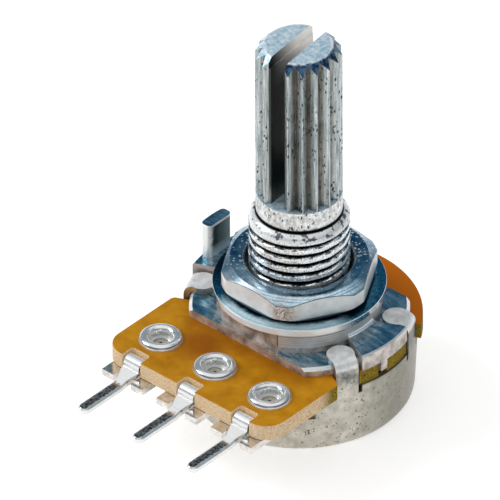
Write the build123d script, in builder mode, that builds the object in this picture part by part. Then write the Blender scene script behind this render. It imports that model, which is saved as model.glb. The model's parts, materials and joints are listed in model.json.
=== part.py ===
from build123d import *
import os
from math import asin, cos, degrees, radians, sin, tan

os.makedirs("parts", exist_ok=True)

# A 16 mm panel potentiometer. All sizes are in millimetres.
# The origin is on the shaft's axis at the rear face of the can. +Z runs along the shaft
# towards the knob, the terminals point to -Y and lie in a row along X.

# Heights of the body stack, from the rear face upwards
can_height = 5.05
board_thickness = 1.2
seat_above_board = 2.25

# Front plate casting
plate_inset = 0.55
plate_front_flat = 5.45
plate_back_flat = 5.45
plate_floor = 0.65
plate_edge_chamfer = 0.22
boss_radius = 5.7
boss_front_flat = 5.1
boss_foot_fillet = 0.3
wing_thickness = 1.25
wing_edge_chamfer = 0.1
wing_leg_width = 0.6
wing_leg_depth = 0.45
wing_leg_drop = 0.75
wing_leg_offset = 0.4
lug_pad_rise = 0.3
lug_thickness = 0.9
lug_width = 2.3
lug_rise = 2.0
lug_corner_radius = 0.3
recess_radius = 4.4
recess_roof = 0.95

# Threaded bushing, M7 x 0.75, in one piece with the plate
bushing_radius = 3.5
bushing_reach = 6.55
bushing_top_radius = 3.02
bushing_top_height = 0.6
thread_pitch = 0.75
thread_depth = 0.4
relief_depth = 0.4
relief_height = 0.35

# Control shaft, reach measured from the seat face to the tip
shaft_radius = 3.0
shaft_reach = 20.4
shaft_tip_chamfer = 0.65
knurl_length = 12.2
knurl_grooves = 18
knurl_groove_depth = 0.3
knurl_groove_width = 0.66
band_length = 1.5
slot_width = 1.1
slot_mouth_width = 1.25
slot_mouth_depth = 0.8
neck_radius = 2.5
tail_radius = 2.0
tail_across_flats = 3.2
tail_chamfer = 0.3
tail_stub = 0.25

# Travel of the shaft, and its turn away from mid-travel as drawn
shaft_travel = 300.0
rest_turn = 6.5

# Retaining ring and thrust washer on the shaft behind the plate
ring_radius = 3.9
ring_thickness = 0.6
ring_band = 0.95
ring_prong_width = 1.1
ring_mouth_width = 3.0
ring_groove_depth = 0.35
ring_shoulder = 0.4
thrust_washer_radius = 4.0
thrust_washer_thickness = 0.3

# Rear can, stamped
can_rim_radius = 8.15
can_rear_radius = 7.95
can_wall = 0.45
can_corner_radius = 0.8
cutout_depth = 2.1
cutout_edge = 5.2
tab_angle = 24.5
tab_width = 1.7
tab_head_width = 1.95
tab_tip_radius = 6.0
tab_bend_radius = 0.75
tab_side_room = 0.3
tab_relief_width = 0.3
tab_relief_depth = 0.55
stop_lug_radius = 6.0
stop_lug_width = 1.7
stop_lug_height = 2.2
stop_lug_window = 2.1

# Element board, punched from laminate
board_front = 11.75
board_half_width = 7.62
board_side_inset = 0.15
board_back_radius = 8.49
board_front_corner = 1.6
board_side_corner = 0.45
board_tab_room = 0.12
board_hole_radius = 3.4
board_notch_depth = 1.08
board_notch_width = 1.66
board_notch_corner = 0.25
board_leg_notch_room = 0.12

# Printed tracks on the rear side of the board
print_thickness = 0.03
track_width = 1.6
track_sweep = 280.0
end_pad_sweep = 19.0
end_lead_width = 1.5
end_lead_angle = 60.0
track_gap = 0.7
collector_width = 1.0
collector_lead_width = 1.2
print_land_radius = 1.75

# Terminals, stamped from tinned sheet, and their tubular rivets
terminal_pitch = 5.0
terminal_sheet = 0.5
rivet_row = 8.7
terminal_ring_radius = 1.8
terminal_half_width = 1.85
terminal_wing_reach = 0.95
terminal_slit = 0.1
tongue_width = 1.4
tongue_drop = 0.18
tongue_fold_gap = 0.06
tongue_bend_rise = 0.15
tongue_bend_radius = 0.35
tongue_flare = 12.1
pin_width = 0.9
pin_shoulder = 13.2
pin_tip = 16.95
pin_drop = 0.4
pin_edge_chamfer = 0.1
rivet_shank_radius = 1.0
rivet_bore_radius = 0.76
rivet_bore_floor = 0.35
rivet_roll_radius = 1.55
rivet_roll_height = 0.34
rivet_mouth_radius = 1.1
rivet_head_radius = 1.7
rivet_head_height = 0.3

# Rotor and wiper
rotor_room = 0.8
rotor_thickness = 1.1
rotor_below_board = 1.05
hub_radius = 3.1
hub_tail = 1.3
rotor_stop_inset = 0.1
rotor_stop_width = 1.9
rotor_stop_floor = 1.3
wiper_sheet = 0.12
wiper_plate_start = 23.0
wiper_plate_sweep = 45.0
wiper_plate_inner = 3.35
wiper_root_reach = 2.8
wiper_rise_reach = 2.2
wiper_tip_reach = 0.4
wiper_tip_drop = 0.35
wiper_bend_radius = 0.3
wiper_finger_width = 0.7

# Loose fasteners on the bushing
washer_radius = 6.0
washer_thickness = 0.5
nut_across_flats = 10.0
nut_thickness = 2.0
nut_corner_radius = 5.5
nut_corner_angle = 30.0
nut_annulus_radius = 4.75
nut_countersink = 0.35

# Clearances
running_clearance = 0.03
loose_clearance = 0.1
nut_clearance = 0.05
end_float = 0.06
rivet_clearance = 0.02
stop_clearance_angle = 0.4
wiper_clearance = 0.02
can_clearance = 0.1

# Levels that follow from the stack
board_bottom = can_height
board_top = board_bottom + board_thickness
seat_level = board_top + seat_above_board
floor_level = board_top + plate_floor
wing_level = board_top + wing_thickness
lug_pad_level = wing_level + lug_pad_rise
lug_level = seat_level + lug_rise
bushing_level = seat_level + bushing_reach
recess_level = seat_level - recess_roof
print_level = board_bottom - print_thickness
terminal_bottom = print_level - terminal_sheet
tongue_bend_level = board_bottom + tongue_bend_rise
pin_level = board_bottom - pin_drop
washer_level = seat_level + washer_thickness
nut_level = washer_level + nut_thickness

# Levels on the shaft
tip_level = seat_level + shaft_reach
knurl_level = tip_level - knurl_length
shoulder_level = knurl_level - band_length
thrust_washer_top = recess_level - end_float
ring_top = thrust_washer_top - thrust_washer_thickness
ring_bottom = ring_top - ring_thickness
hub_top = ring_bottom - ring_shoulder
rotor_top = board_bottom - rotor_below_board
rotor_bottom = rotor_top - rotor_thickness
hub_bottom = rotor_bottom - hub_tail
tail_end = hub_bottom - tail_stub

# Radii and widths shared by mating pieces
bore_radius = neck_radius + running_clearance
ring_seat_radius = neck_radius - ring_groove_depth
can_inner_radius = can_rim_radius - can_wall
plate_radius = can_rim_radius - plate_inset
board_side_radius = can_rim_radius - board_side_inset
rotor_radius = can_inner_radius - rotor_room
track_outer_radius = rotor_radius
track_inner_radius = track_outer_radius - track_width
collector_outer_radius = track_inner_radius - track_gap
collector_inner_radius = collector_outer_radius - collector_width
rotor_stop_outer = rotor_radius - rotor_stop_inset
rotor_stop_inner = rotor_stop_outer - rotor_stop_width
tab_channel = tab_width / 2 + tab_side_room
wedge_apex = tab_channel / sin(radians(tab_angle))
tab_turns = [
    Location((0, 0, 0), (0, 0, half + side)) for half in (0, 180) for side in (-tab_angle, tab_angle)
]
terminal_rows = {"left": -terminal_pitch, "centre": 0, "right": terminal_pitch}
rivet_hole_radius = rivet_shank_radius + rivet_clearance
notch_back = board_front - board_notch_depth


def turned_plane(height, turn=rest_turn):
    """Level plane at a height, turned about the shaft's axis."""
    along = (cos(radians(turn)), sin(radians(turn)), 0)
    return Plane(origin=(0, 0, height), x_dir=along, z_dir=(0, 0, 1))


def flats_along(arc, steps=4):
    """Points along an arc, for a round corner made of a few flats."""
    return [arc @ (step / steps) for step in range(steps + 1)]


def sector(inner, outer, start, sweep):
    """Ring sector about the origin, angles in degrees."""
    with BuildSketch() as shape:
        with BuildLine():
            near = CenterArc((0, 0), inner, start, sweep)
            far = CenterArc((0, 0), outer, start, sweep)
            Line(near @ 0, far @ 0)
            Line(near @ 1, far @ 1)
        make_face()
    return shape.sketch


def wedges_between_tabs(reach):
    """The two wedges between the tab channels, out to a reach along X."""
    spread = (reach - wedge_apex) * tan(radians(tab_angle))
    with BuildSketch() as shape:
        with BuildLine():
            Polyline((wedge_apex, 0), (reach, spread), (reach, -spread), close=True)
        make_face()
        mirror(about=Plane.YZ)
    return shape.sketch


wing_wedges = wedges_between_tabs(can_rim_radius + wing_thickness)

# Front plate with its boss, wings, locating lug and threaded bushing, one casting
with BuildPart() as front_plate:
    with BuildSketch(Plane.XY.offset(board_top)):
        Circle(plate_radius)
        depth = plate_front_flat + plate_back_flat
        middle = (plate_back_flat - plate_front_flat) / 2
        with Locations((0, middle)):
            Rectangle(2 * plate_radius, depth, mode=Mode.INTERSECT)
    extrude(amount=plate_floor)

    # Wings between the can's tabs, flush with the can; the left one is raised for the lug
    with BuildSketch(Plane.XY.offset(board_top)):
        Circle(can_rim_radius)
        add(wing_wedges, mode=Mode.INTERSECT)
    extrude(amount=wing_thickness)
    with BuildSketch(Plane.XY.offset(wing_level)):
        Circle(can_rim_radius)
        add(wing_wedges, mode=Mode.INTERSECT)
        with Locations((-can_rim_radius, 0)):
            Rectangle(2 * can_rim_radius, 2 * can_rim_radius, mode=Mode.INTERSECT)
    extrude(amount=lug_pad_rise)
    wing_rims = ((lug_pad_level, wing_edge_chamfer), (wing_level, wing_edge_chamfer))
    for level, width in (*wing_rims, (floor_level, plate_edge_chamfer)):
        rims = front_plate.edges().filter_by(GeomType.CIRCLE)
        chamfer(rims.filter_by_position(Axis.Z, level, level), width)

    # Boss with the seat face
    with BuildSketch(Plane.XY.offset(board_top)):
        Circle(boss_radius)
        with Locations((0, boss_radius - boss_front_flat)):
            Rectangle(2 * boss_radius, 2 * boss_radius, mode=Mode.INTERSECT)
    extrude(amount=seat_above_board)
    for level in (wing_level, lug_pad_level):
        feet = front_plate.edges().filter_by_position(Axis.Z, level, level)
        fillet(feet.filter_by(GeomType.CIRCLE).group_by(SortBy.RADIUS)[0], boss_foot_fillet)

    # Locating lug on the left wing, round on its outer side
    lug_centre = can_rim_radius - lug_thickness / 2
    lug_foot = lug_pad_level - wing_edge_chamfer
    with BuildSketch(Plane.XY.offset(lug_foot)) as lug_outline:
        Circle(can_rim_radius)
        with Locations((-lug_centre, 0)):
            Rectangle(lug_thickness, lug_width, mode=Mode.INTERSECT)
        fillet(lug_outline.vertices(), lug_corner_radius)
    extrude(amount=lug_level - lug_foot)

    # Bushing with its lead-in, the relief at its foot and the thread's relief as plain rings
    thread_start = seat_level + relief_height + relief_depth
    thread_end = bushing_level - bushing_top_height
    thread_rings = []
    for ring in range(int((thread_end - thread_start) / thread_pitch)):
        crest_level = thread_start + ring * thread_pitch
        thread_rings.append((bushing_radius, crest_level))
        thread_rings.append((bushing_radius - thread_depth, crest_level + thread_pitch / 2))
        thread_rings.append((bushing_radius, crest_level + thread_pitch))
    with BuildSketch(Plane.XZ):
        with BuildLine():
            Polyline(
                (0, seat_level),
                (bushing_radius - relief_depth, seat_level),
                (bushing_radius - relief_depth, seat_level + relief_height),
                *dict.fromkeys(thread_rings),
                (bushing_radius, thread_end),
                (bushing_top_radius, bushing_level),
                (0, bushing_level),
                close=True,
            )
        make_face()
    revolve(axis=Axis.Z)

    # Recess for the retaining ring, and the shaft's bore
    with BuildSketch(Plane.XY.offset(board_top)):
        Circle(recess_radius)
    extrude(amount=recess_level - board_top, mode=Mode.SUBTRACT)
    with BuildSketch(Plane.XY.offset(board_top)):
        Circle(bore_radius)
    extrude(amount=bushing_level - board_top, mode=Mode.SUBTRACT)

    # Small legs under the wings that key into the board's edge
    with BuildSketch(Plane.XY.offset(board_top)):
        leg_middle = can_rim_radius - wing_leg_depth / 2
        with Locations((leg_middle, -wing_leg_offset), (-leg_middle, -wing_leg_offset)):
            Rectangle(wing_leg_depth, wing_leg_width)
        Circle(can_rim_radius, mode=Mode.INTERSECT)
    extrude(amount=-wing_leg_drop)
front_plate.part.label = "front_plate"
export_step(front_plate.part, "parts/front_plate.step")

# Rear can, drawn as a cup that widens towards the rim
with BuildPart() as rear_can:
    # Four tabs that fold over the plate, cut from one folded ring
    tab_top = floor_level + can_wall
    bend_radius = can_rim_radius - tab_bend_radius
    bend_level = tab_top - tab_bend_radius
    with BuildSketch(Plane.XZ):
        with BuildLine():
            bend_centre = (bend_radius, bend_level)
            outer_bend = CenterArc(bend_centre, tab_bend_radius, 0, 90, mode=Mode.PRIVATE)
            inner_bend = CenterArc(bend_centre, tab_bend_radius - can_wall, 0, 90, mode=Mode.PRIVATE)
            Polyline(
                *flats_along(outer_bend),
                (tab_tip_radius, tab_top),
                (tab_tip_radius, floor_level),
                *reversed(flats_along(inner_bend)),
                (can_inner_radius, can_height),
                (can_rim_radius, can_height),
                close=True,
            )
        make_face()
    revolve(axis=Axis.Z)
    tab_head = tab_head_width / 2
    with BuildSketch(Plane.XY.offset(can_height)):
        with Locations(*tab_turns):
            with Locations((can_rim_radius, 0)):
                Rectangle(2 * (can_rim_radius - tab_tip_radius - tab_head), tab_width)
            with Locations((tab_tip_radius + tab_head, 0)):
                Circle(tab_head)
    extrude(amount=tab_top - can_height, mode=Mode.INTERSECT)

    # Cup
    with BuildSketch(Plane.XZ):
        with BuildLine():
            corner_start = can_rear_radius - can_corner_radius
            corner_centre = (corner_start, can_corner_radius)
            outer_corner = CenterArc(corner_centre, can_corner_radius, -90, 90, mode=Mode.PRIVATE)
            Polyline(
                (0, 0),
                *flats_along(outer_corner),
                (can_rim_radius, can_height),
                (can_inner_radius, can_height),
                (can_rear_radius - can_wall, can_corner_radius),
                (corner_start, can_wall),
                (0, can_wall),
                close=True,
            )
        make_face()
    revolve(axis=Axis.Z)

    # Cut-out that leaves room for the terminals
    with BuildSketch(Plane.XY.offset(can_height)):
        with Locations((0, -cutout_edge - can_rim_radius)):
            Rectangle(2 * can_rim_radius, 2 * can_rim_radius)
    extrude(amount=-cutout_depth, mode=Mode.SUBTRACT)

    # Reliefs beside the roots of the tabs
    relief_offset = (tab_width + tab_relief_width) / 2
    with BuildSketch(Plane.XY.offset(can_height)):
        with Locations(*tab_turns):
            with Locations((can_rim_radius, relief_offset), (can_rim_radius, -relief_offset)):
                Rectangle(4 * can_wall, tab_relief_width)
    extrude(amount=-tab_relief_depth, mode=Mode.SUBTRACT)

    # Stop lug, lanced from the rear face and bent inwards, with the window that it leaves
    with BuildSketch(Plane.XY):
        with Locations((can_wall / 2 + stop_lug_window / 2, -stop_lug_radius)):
            Rectangle(stop_lug_window, stop_lug_width)
    extrude(amount=can_wall, mode=Mode.SUBTRACT)
    with BuildSketch(Plane.XY):
        with Locations((0, -stop_lug_radius)):
            Rectangle(can_wall, stop_lug_width)
    extrude(amount=stop_lug_height)
rear_can.part.label = "rear_can"
export_step(rear_can.part, "parts/rear_can.step")

# Element board with its notches and holes
with BuildPart() as element_board:
    with BuildSketch(Plane.XY.offset(board_bottom)):
        Circle(board_back_radius)
        back_start = can_rim_radius * sin(radians(tab_angle))
        with Locations((0, back_start + board_back_radius)):
            Rectangle(2 * board_back_radius, 2 * board_back_radius, mode=Mode.INTERSECT)
        Circle(board_side_radius)
        with Locations((0, -board_front / 2)):
            Rectangle(2 * board_half_width, board_front)
        tab_floor = can_inner_radius - can_clearance
        with Locations(*tab_turns):
            with Locations((tab_floor + board_half_width / 2, 0)):
                Rectangle(board_half_width, tab_width + 2 * board_tab_room, mode=Mode.SUBTRACT)
        for x in terminal_rows.values():
            with Locations((x, -board_front)):
                Rectangle(board_notch_width, 2 * board_notch_depth, mode=Mode.SUBTRACT)
            with Locations((x, -rivet_row)):
                Circle(rivet_hole_radius, mode=Mode.SUBTRACT)
        leg_back = can_rim_radius - wing_leg_depth - board_leg_notch_room
        leg_sides = ((board_back_radius, -wing_leg_offset), (-board_back_radius, -wing_leg_offset))
        with Locations(*leg_sides):
            leg_notch_width = wing_leg_width + 2 * board_leg_notch_room
            Rectangle(2 * (board_back_radius - leg_back), leg_notch_width, mode=Mode.SUBTRACT)
        Circle(board_hole_radius, mode=Mode.SUBTRACT)
    extrude(amount=board_thickness)
    uprights = element_board.edges().filter_by(Axis.Z)
    front_corners = uprights.filter_by_position(Axis.Y, -board_front, -board_front)
    fillet(front_corners.sort_by(Axis.X)[0], board_front_corner)
    uprights = element_board.edges().filter_by(Axis.Z)
    front_corners = uprights.filter_by_position(Axis.Y, -board_front, -board_front)
    fillet(front_corners.sort_by(Axis.X)[-1], board_front_corner)
    for side in (board_half_width, -board_half_width):
        uprights = element_board.edges().filter_by(Axis.Z)
        uprights = uprights.filter_by_position(Axis.X, side - board_tab_room, side + board_tab_room)
        fillet(uprights.filter_by_position(Axis.Y, -rivet_row, 0).sort_by(Axis.Y)[0], board_side_corner)
    uprights = element_board.edges().filter_by(Axis.Z)
    fillet(uprights.filter_by_position(Axis.Y, -notch_back, -notch_back), board_notch_corner)
element_board.part.label = "element_board"
export_step(element_board.part, "parts/element_board.step")

# Resistive track
with BuildPart() as carbon_track:
    with BuildSketch(Plane.XY.offset(print_level)):
        add(sector(track_inner_radius, track_outer_radius, 90 - track_sweep / 2, track_sweep))
    extrude(amount=print_thickness)
carbon_track.part.label = "carbon_track"
export_step(carbon_track.part, "parts/carbon_track.step")

# Collector ring with its lead to the centre terminal
with BuildPart() as collector_ring:
    with BuildSketch(Plane.XY.offset(print_level)):
        Circle(collector_outer_radius)
        lead_middle = (collector_inner_radius + rivet_row) / 2
        with Locations((0, -lead_middle)):
            Rectangle(collector_lead_width, rivet_row - collector_inner_radius)
        Circle(collector_inner_radius, mode=Mode.SUBTRACT)
        with Locations((0, -rivet_row)):
            Circle(print_land_radius)
            Circle(rivet_hole_radius, mode=Mode.SUBTRACT)
    extrude(amount=print_thickness)
collector_ring.part.label = "collector_ring"
export_step(collector_ring.part, "parts/collector_ring.step")

# Silver pads at the ends of the track, each with a lead to its outer terminal
for name, side in (("left", -1), ("right", 1)):
    pad_start = 90 - side * track_sweep / 2
    pad = sector(track_inner_radius, track_outer_radius, pad_start, -side * end_pad_sweep)
    lead_length = rivet_row / sin(radians(end_lead_angle)) - track_outer_radius
    lead_plane = turned_plane(print_level, -90 + side * (90 - end_lead_angle))
    with BuildPart() as end_pad:
        with BuildSketch(Plane.XY.offset(print_level)):
            add(pad)
            with Locations((side * terminal_pitch, -rivet_row)):
                Circle(print_land_radius)
        with BuildSketch(lead_plane):
            with Locations((track_outer_radius + lead_length / 2 - print_thickness, 0)):
                Rectangle(lead_length, end_lead_width)
        extrude(amount=print_thickness)
        with BuildSketch(Plane.XY.offset(print_level)):
            with Locations((side * terminal_pitch, -rivet_row)):
                Circle(rivet_hole_radius)
        extrude(amount=print_thickness, mode=Mode.SUBTRACT)
    end_pad.part.label = "end_pad_" + name
    export_step(end_pad.part, "parts/end_pad_" + name + ".step")

# Terminals: a ring under the board, two wings, and a tongue folded up through the notch
half_sheet = terminal_sheet / 2
rear_leg = notch_back + running_clearance + half_sheet
front_leg = rear_leg + terminal_sheet + tongue_fold_gap
fold_radius = (front_leg - rear_leg) / 2
fold_level = board_top - tongue_drop - half_sheet - fold_radius
wing_front = board_front + terminal_wing_reach
for name, x in terminal_rows.items():
    with BuildPart() as terminal:
        with BuildSketch(Plane.YZ.offset(x - tongue_width / 2)):
            with BuildLine():
                Line((-rear_leg, terminal_bottom), (-rear_leg, fold_level))
                CenterArc((-(rear_leg + front_leg) / 2, fold_level), fold_radius, 0, 180)
                FilletPolyline(
                    (-front_leg, fold_level),
                    (-front_leg, tongue_bend_level),
                    (-pin_shoulder, pin_level),
                    (-pin_tip, pin_level),
                    radius=tongue_bend_radius,
                )
                offset(amount=half_sheet)
            make_face()
        extrude(amount=tongue_width)
        flare_top = Vector(x + tongue_width / 2, -tongue_flare)
        flare_foot = Vector(x + pin_width / 2, -pin_shoulder)
        tip_start = Vector(x + pin_width / 2, pin_width / 2 - pin_tip)
        with BuildSketch(Plane.XY.offset(terminal_bottom - terminal_sheet)):
            with BuildLine():
                Line((x, -notch_back), (x + tongue_width / 2, -notch_back))
                Line((x + tongue_width / 2, -notch_back), flare_top)
                TangentArc(flare_foot, flare_top, tangent=(0, 1))
                Line(flare_foot, tip_start)
                TangentArc(tip_start, (x, -pin_tip), tangent=(0, -1))
                mirror(about=Plane.YZ.offset(x))
            make_face()
        extrude(amount=board_top - terminal_bottom + terminal_sheet, mode=Mode.INTERSECT)
        pin_edges = terminal.edges().filter_by_position(Axis.Y, -pin_tip, -pin_shoulder)
        chamfer(pin_edges.group_by(Axis.Z)[-1] + pin_edges.group_by(Axis.Z)[0], pin_edge_chamfer)
        with BuildSketch(Plane.XY.offset(terminal_bottom)):
            with Locations((x, -rivet_row)):
                Circle(terminal_ring_radius)
            with Locations((x, -(rivet_row + wing_front) / 2)):
                Rectangle(2 * terminal_half_width, wing_front - rivet_row)
            slit_length = wing_front - rear_leg
            with Locations((x, -(rear_leg + wing_front) / 2)):
                Rectangle(tongue_width + 2 * terminal_slit, slit_length, mode=Mode.SUBTRACT)
            with Locations((x, -rivet_row)):
                Circle(rivet_hole_radius, mode=Mode.SUBTRACT)
        extrude(amount=terminal_sheet)
    terminal.part.label = "terminal_" + name
    export_step(terminal.part, "parts/terminal_" + name + ".step")

# Tubular rivets, headed under the terminal and rolled over on the board
head_level = terminal_bottom - rivet_head_height
roll_level = board_top + rivet_roll_height
bore_floor = board_top - rivet_bore_floor
for name, x in terminal_rows.items():
    with BuildPart() as rivet:
        with BuildSketch(Plane(origin=(x, -rivet_row, 0), x_dir=(1, 0, 0), z_dir=(0, -1, 0))):
            with BuildLine():
                roll_foot = (rivet_roll_radius, board_top)
                bore_mouth = (rivet_bore_radius, board_top)
                crest = ((rivet_roll_radius + rivet_mouth_radius) / 2, roll_level)
                outer_roll = TangentArc(roll_foot, crest, tangent=(0, 1), mode=Mode.PRIVATE)
                inner_roll = TangentArc(bore_mouth, crest, tangent=(0, 1), mode=Mode.PRIVATE)
                Polyline(
                    *flats_along(outer_roll),
                    *reversed(flats_along(inner_roll)[:-1]),
                    (rivet_bore_radius, bore_floor),
                    (0, bore_floor),
                    (0, head_level),
                    (rivet_head_radius, head_level),
                    (rivet_head_radius, terminal_bottom),
                    (rivet_shank_radius, terminal_bottom),
                    (rivet_shank_radius, board_top),
                    close=True,
                )
            make_face()
        revolve(axis=Axis((x, -rivet_row, 0), (0, 0, 1)))
    rivet.part.label = "rivet_" + name
    export_step(rivet.part, "parts/rivet_" + name + ".step")

# Control shaft: turned outline, then the flats, the knurl and the slot
with BuildPart() as control_shaft:
    with BuildSketch(Plane.XZ):
        with BuildLine():
            Polyline(
                (0, tail_end),
                (tail_radius - tail_chamfer, tail_end),
                (tail_radius, tail_end + tail_chamfer),
                (tail_radius, hub_top),
                (neck_radius, hub_top),
                (neck_radius, ring_bottom),
                (ring_seat_radius, ring_bottom),
                (ring_seat_radius, ring_top),
                (neck_radius, ring_top),
                (neck_radius, shoulder_level),
                (shaft_radius, shoulder_level),
                (shaft_radius, tip_level - shaft_tip_chamfer),
                (shaft_radius - shaft_tip_chamfer, tip_level),
                (0, tip_level),
                close=True,
            )
        make_face()
    revolve(axis=Axis.Z)
    with BuildSketch(turned_plane(tail_end)):
        Circle(neck_radius)
        Rectangle(tail_across_flats, 2 * neck_radius, mode=Mode.SUBTRACT)
    extrude(amount=hub_top - tail_end, mode=Mode.SUBTRACT)
    with BuildSketch(turned_plane(tip_level)):
        with PolarLocations(shaft_radius, knurl_grooves, start_angle=90):
            Polygon(
                (-knurl_groove_depth, 0),
                (knurl_groove_depth, -knurl_groove_width),
                (knurl_groove_depth, knurl_groove_width),
                align=None,
            )
    extrude(amount=-knurl_length, mode=Mode.SUBTRACT)
    with BuildSketch(turned_plane(tip_level)):
        Rectangle(slot_width, 3 * shaft_radius)
    extrude(amount=-knurl_length, mode=Mode.SUBTRACT)
    with BuildSketch(turned_plane(tip_level)):
        Rectangle(slot_mouth_width, 3 * shaft_radius)
    extrude(amount=-slot_mouth_depth, mode=Mode.SUBTRACT)
control_shaft.part.label = "control_shaft"
export_step(control_shaft.part, "parts/control_shaft.step")

# Thrust washer between the plate and the retaining ring
with BuildPart() as thrust_washer:
    with BuildSketch(Plane.XY.offset(ring_top)):
        Circle(thrust_washer_radius)
        Circle(bore_radius, mode=Mode.SUBTRACT)
    extrude(amount=thrust_washer_thickness)
thrust_washer.part.label = "thrust_washer"
export_step(thrust_washer.part, "parts/thrust_washer.step")

# Retaining ring with three prongs in the shaft's groove
with BuildPart() as retaining_ring:
    with BuildSketch(turned_plane(ring_bottom)):
        Circle(ring_radius)
        Circle(ring_radius - ring_band, mode=Mode.SUBTRACT)
        prong_length = ring_radius - ring_band / 2
        with PolarLocations(prong_length / 2, 3, start_angle=90):
            Rectangle(prong_length, ring_prong_width)
        Circle(ring_seat_radius, mode=Mode.SUBTRACT)
        with Locations((0, -ring_radius)):
            mouth_depth = ring_radius - ring_seat_radius
            Rectangle(ring_mouth_width, 2 * mouth_depth, mode=Mode.SUBTRACT)
    extrude(amount=ring_thickness)
retaining_ring.part.label = "retaining_ring"
export_step(retaining_ring.part, "parts/retaining_ring.step")

# Rotor disc with its hub and the stop sector that meets the can's lug
stop_lug_inner = stop_lug_radius - stop_lug_width / 2
lug_half_angle = degrees(asin(can_wall / 2 / stop_lug_inner))
stop_half_angle = (360 - shaft_travel) / 2 - lug_half_angle - stop_clearance_angle
stop_shape = sector(rotor_stop_inner, rotor_stop_outer, 90 - stop_half_angle, 2 * stop_half_angle)
with BuildPart() as rotor_disc:
    with BuildSketch(turned_plane(rotor_bottom)):
        Circle(rotor_radius)
    extrude(amount=rotor_thickness)
    with BuildSketch(turned_plane(hub_bottom)):
        Circle(hub_radius)
    extrude(amount=hub_top - hub_bottom)
    with BuildSketch(turned_plane(rotor_stop_floor)):
        add(stop_shape)
    extrude(amount=rotor_bottom - rotor_stop_floor)
    with BuildSketch(turned_plane(hub_bottom)):
        Circle(tail_radius)
        Rectangle(tail_across_flats, 2 * tail_radius, mode=Mode.INTERSECT)
    extrude(amount=hub_top - hub_bottom, mode=Mode.SUBTRACT)
rotor_disc.part.label = "rotor_disc"
export_step(rotor_disc.part, "parts/rotor_disc.step")

# Wiper: a plate on the rotor with one finger for the track and one for the collector
wiper_plate = sector(wiper_plate_inner, track_outer_radius, 90 + wiper_plate_start, wiper_plate_sweep)
half_wiper = wiper_sheet / 2
finger_root = rotor_top + half_wiper
finger_crest = print_level - wiper_clearance - half_wiper
track_middle = (track_inner_radius + track_outer_radius) / 2
collector_middle = (collector_inner_radius + collector_outer_radius) / 2
along = (cos(radians(rest_turn)), sin(radians(rest_turn)), 0)
outward = (-sin(radians(rest_turn)), cos(radians(rest_turn)), 0)
inward = (sin(radians(rest_turn)), -cos(radians(rest_turn)), 0)
with BuildPart() as wiper_spring:
    with BuildSketch(turned_plane(rotor_top)):
        add(wiper_plate)
    extrude(amount=wiper_sheet)
    for middle in (track_middle, collector_middle):
        with BuildSketch(Plane(origin=Vector(outward) * middle, x_dir=along, z_dir=inward)):
            with BuildLine():
                FilletPolyline(
                    (-wiper_root_reach, finger_root),
                    (-wiper_rise_reach, finger_root),
                    (0, finger_crest),
                    (wiper_tip_reach, finger_crest - wiper_tip_drop),
                    radius=wiper_bend_radius,
                )
                offset(amount=half_wiper)
            make_face()
        extrude(amount=wiper_finger_width / 2, both=True)
wiper_spring.part.label = "wiper_spring"
export_step(wiper_spring.part, "parts/wiper_spring.step")

# Flat washer on the seat face
with BuildPart() as flat_washer:
    with BuildSketch(Plane.XY.offset(seat_level)):
        Circle(washer_radius)
        Circle(bushing_radius + loose_clearance, mode=Mode.SUBTRACT)
    extrude(amount=washer_thickness)
flat_washer.part.label = "flat_washer"
export_step(flat_washer.part, "parts/flat_washer.step")

# Hexagon nut, its corners turned off to a round annulus above and below
with BuildPart() as hex_nut:
    with BuildSketch(Plane.XY.offset(washer_level)):
        RegularPolygon(nut_across_flats / 2, 6, major_radius=False)
    extrude(amount=nut_thickness)
    corner_drop = (nut_corner_radius - nut_annulus_radius) * tan(radians(nut_corner_angle))
    nut_bore = bushing_radius + nut_clearance
    with BuildSketch(Plane.XZ):
        with BuildLine():
            Polyline(
                (nut_bore + nut_countersink, washer_level),
                (nut_annulus_radius, washer_level),
                (nut_corner_radius, washer_level + corner_drop),
                (nut_corner_radius, nut_level - corner_drop),
                (nut_annulus_radius, nut_level),
                (nut_bore + nut_countersink, nut_level),
                (nut_bore, nut_level - nut_countersink),
                (nut_bore, washer_level + nut_countersink),
                close=True,
            )
        make_face()
    revolve(axis=Axis.Z, mode=Mode.INTERSECT)
hex_nut.part.label = "hex_nut"
export_step(hex_nut.part, "parts/hex_nut.step")
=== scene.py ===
import json
from math import cos, pi, radians, sin

import bmesh
import bpy
from mathutils import Matrix, Vector


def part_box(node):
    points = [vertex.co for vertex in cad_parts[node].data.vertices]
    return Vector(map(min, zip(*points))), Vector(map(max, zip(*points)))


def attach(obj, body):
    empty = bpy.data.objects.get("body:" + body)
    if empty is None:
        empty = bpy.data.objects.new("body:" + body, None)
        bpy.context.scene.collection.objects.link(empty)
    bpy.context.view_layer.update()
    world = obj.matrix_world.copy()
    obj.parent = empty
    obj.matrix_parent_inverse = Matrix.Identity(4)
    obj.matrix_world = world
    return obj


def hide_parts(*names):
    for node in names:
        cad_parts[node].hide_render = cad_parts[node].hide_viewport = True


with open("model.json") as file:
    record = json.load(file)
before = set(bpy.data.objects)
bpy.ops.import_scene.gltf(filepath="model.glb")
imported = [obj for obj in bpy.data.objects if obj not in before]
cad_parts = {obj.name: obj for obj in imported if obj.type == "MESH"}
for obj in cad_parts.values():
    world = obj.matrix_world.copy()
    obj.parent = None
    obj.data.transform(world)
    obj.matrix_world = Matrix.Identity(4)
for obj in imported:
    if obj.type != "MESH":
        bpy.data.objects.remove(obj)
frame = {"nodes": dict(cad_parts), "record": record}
nodes = frame["nodes"]
scene = bpy.context.scene
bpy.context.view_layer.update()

MM = 0.001

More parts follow.
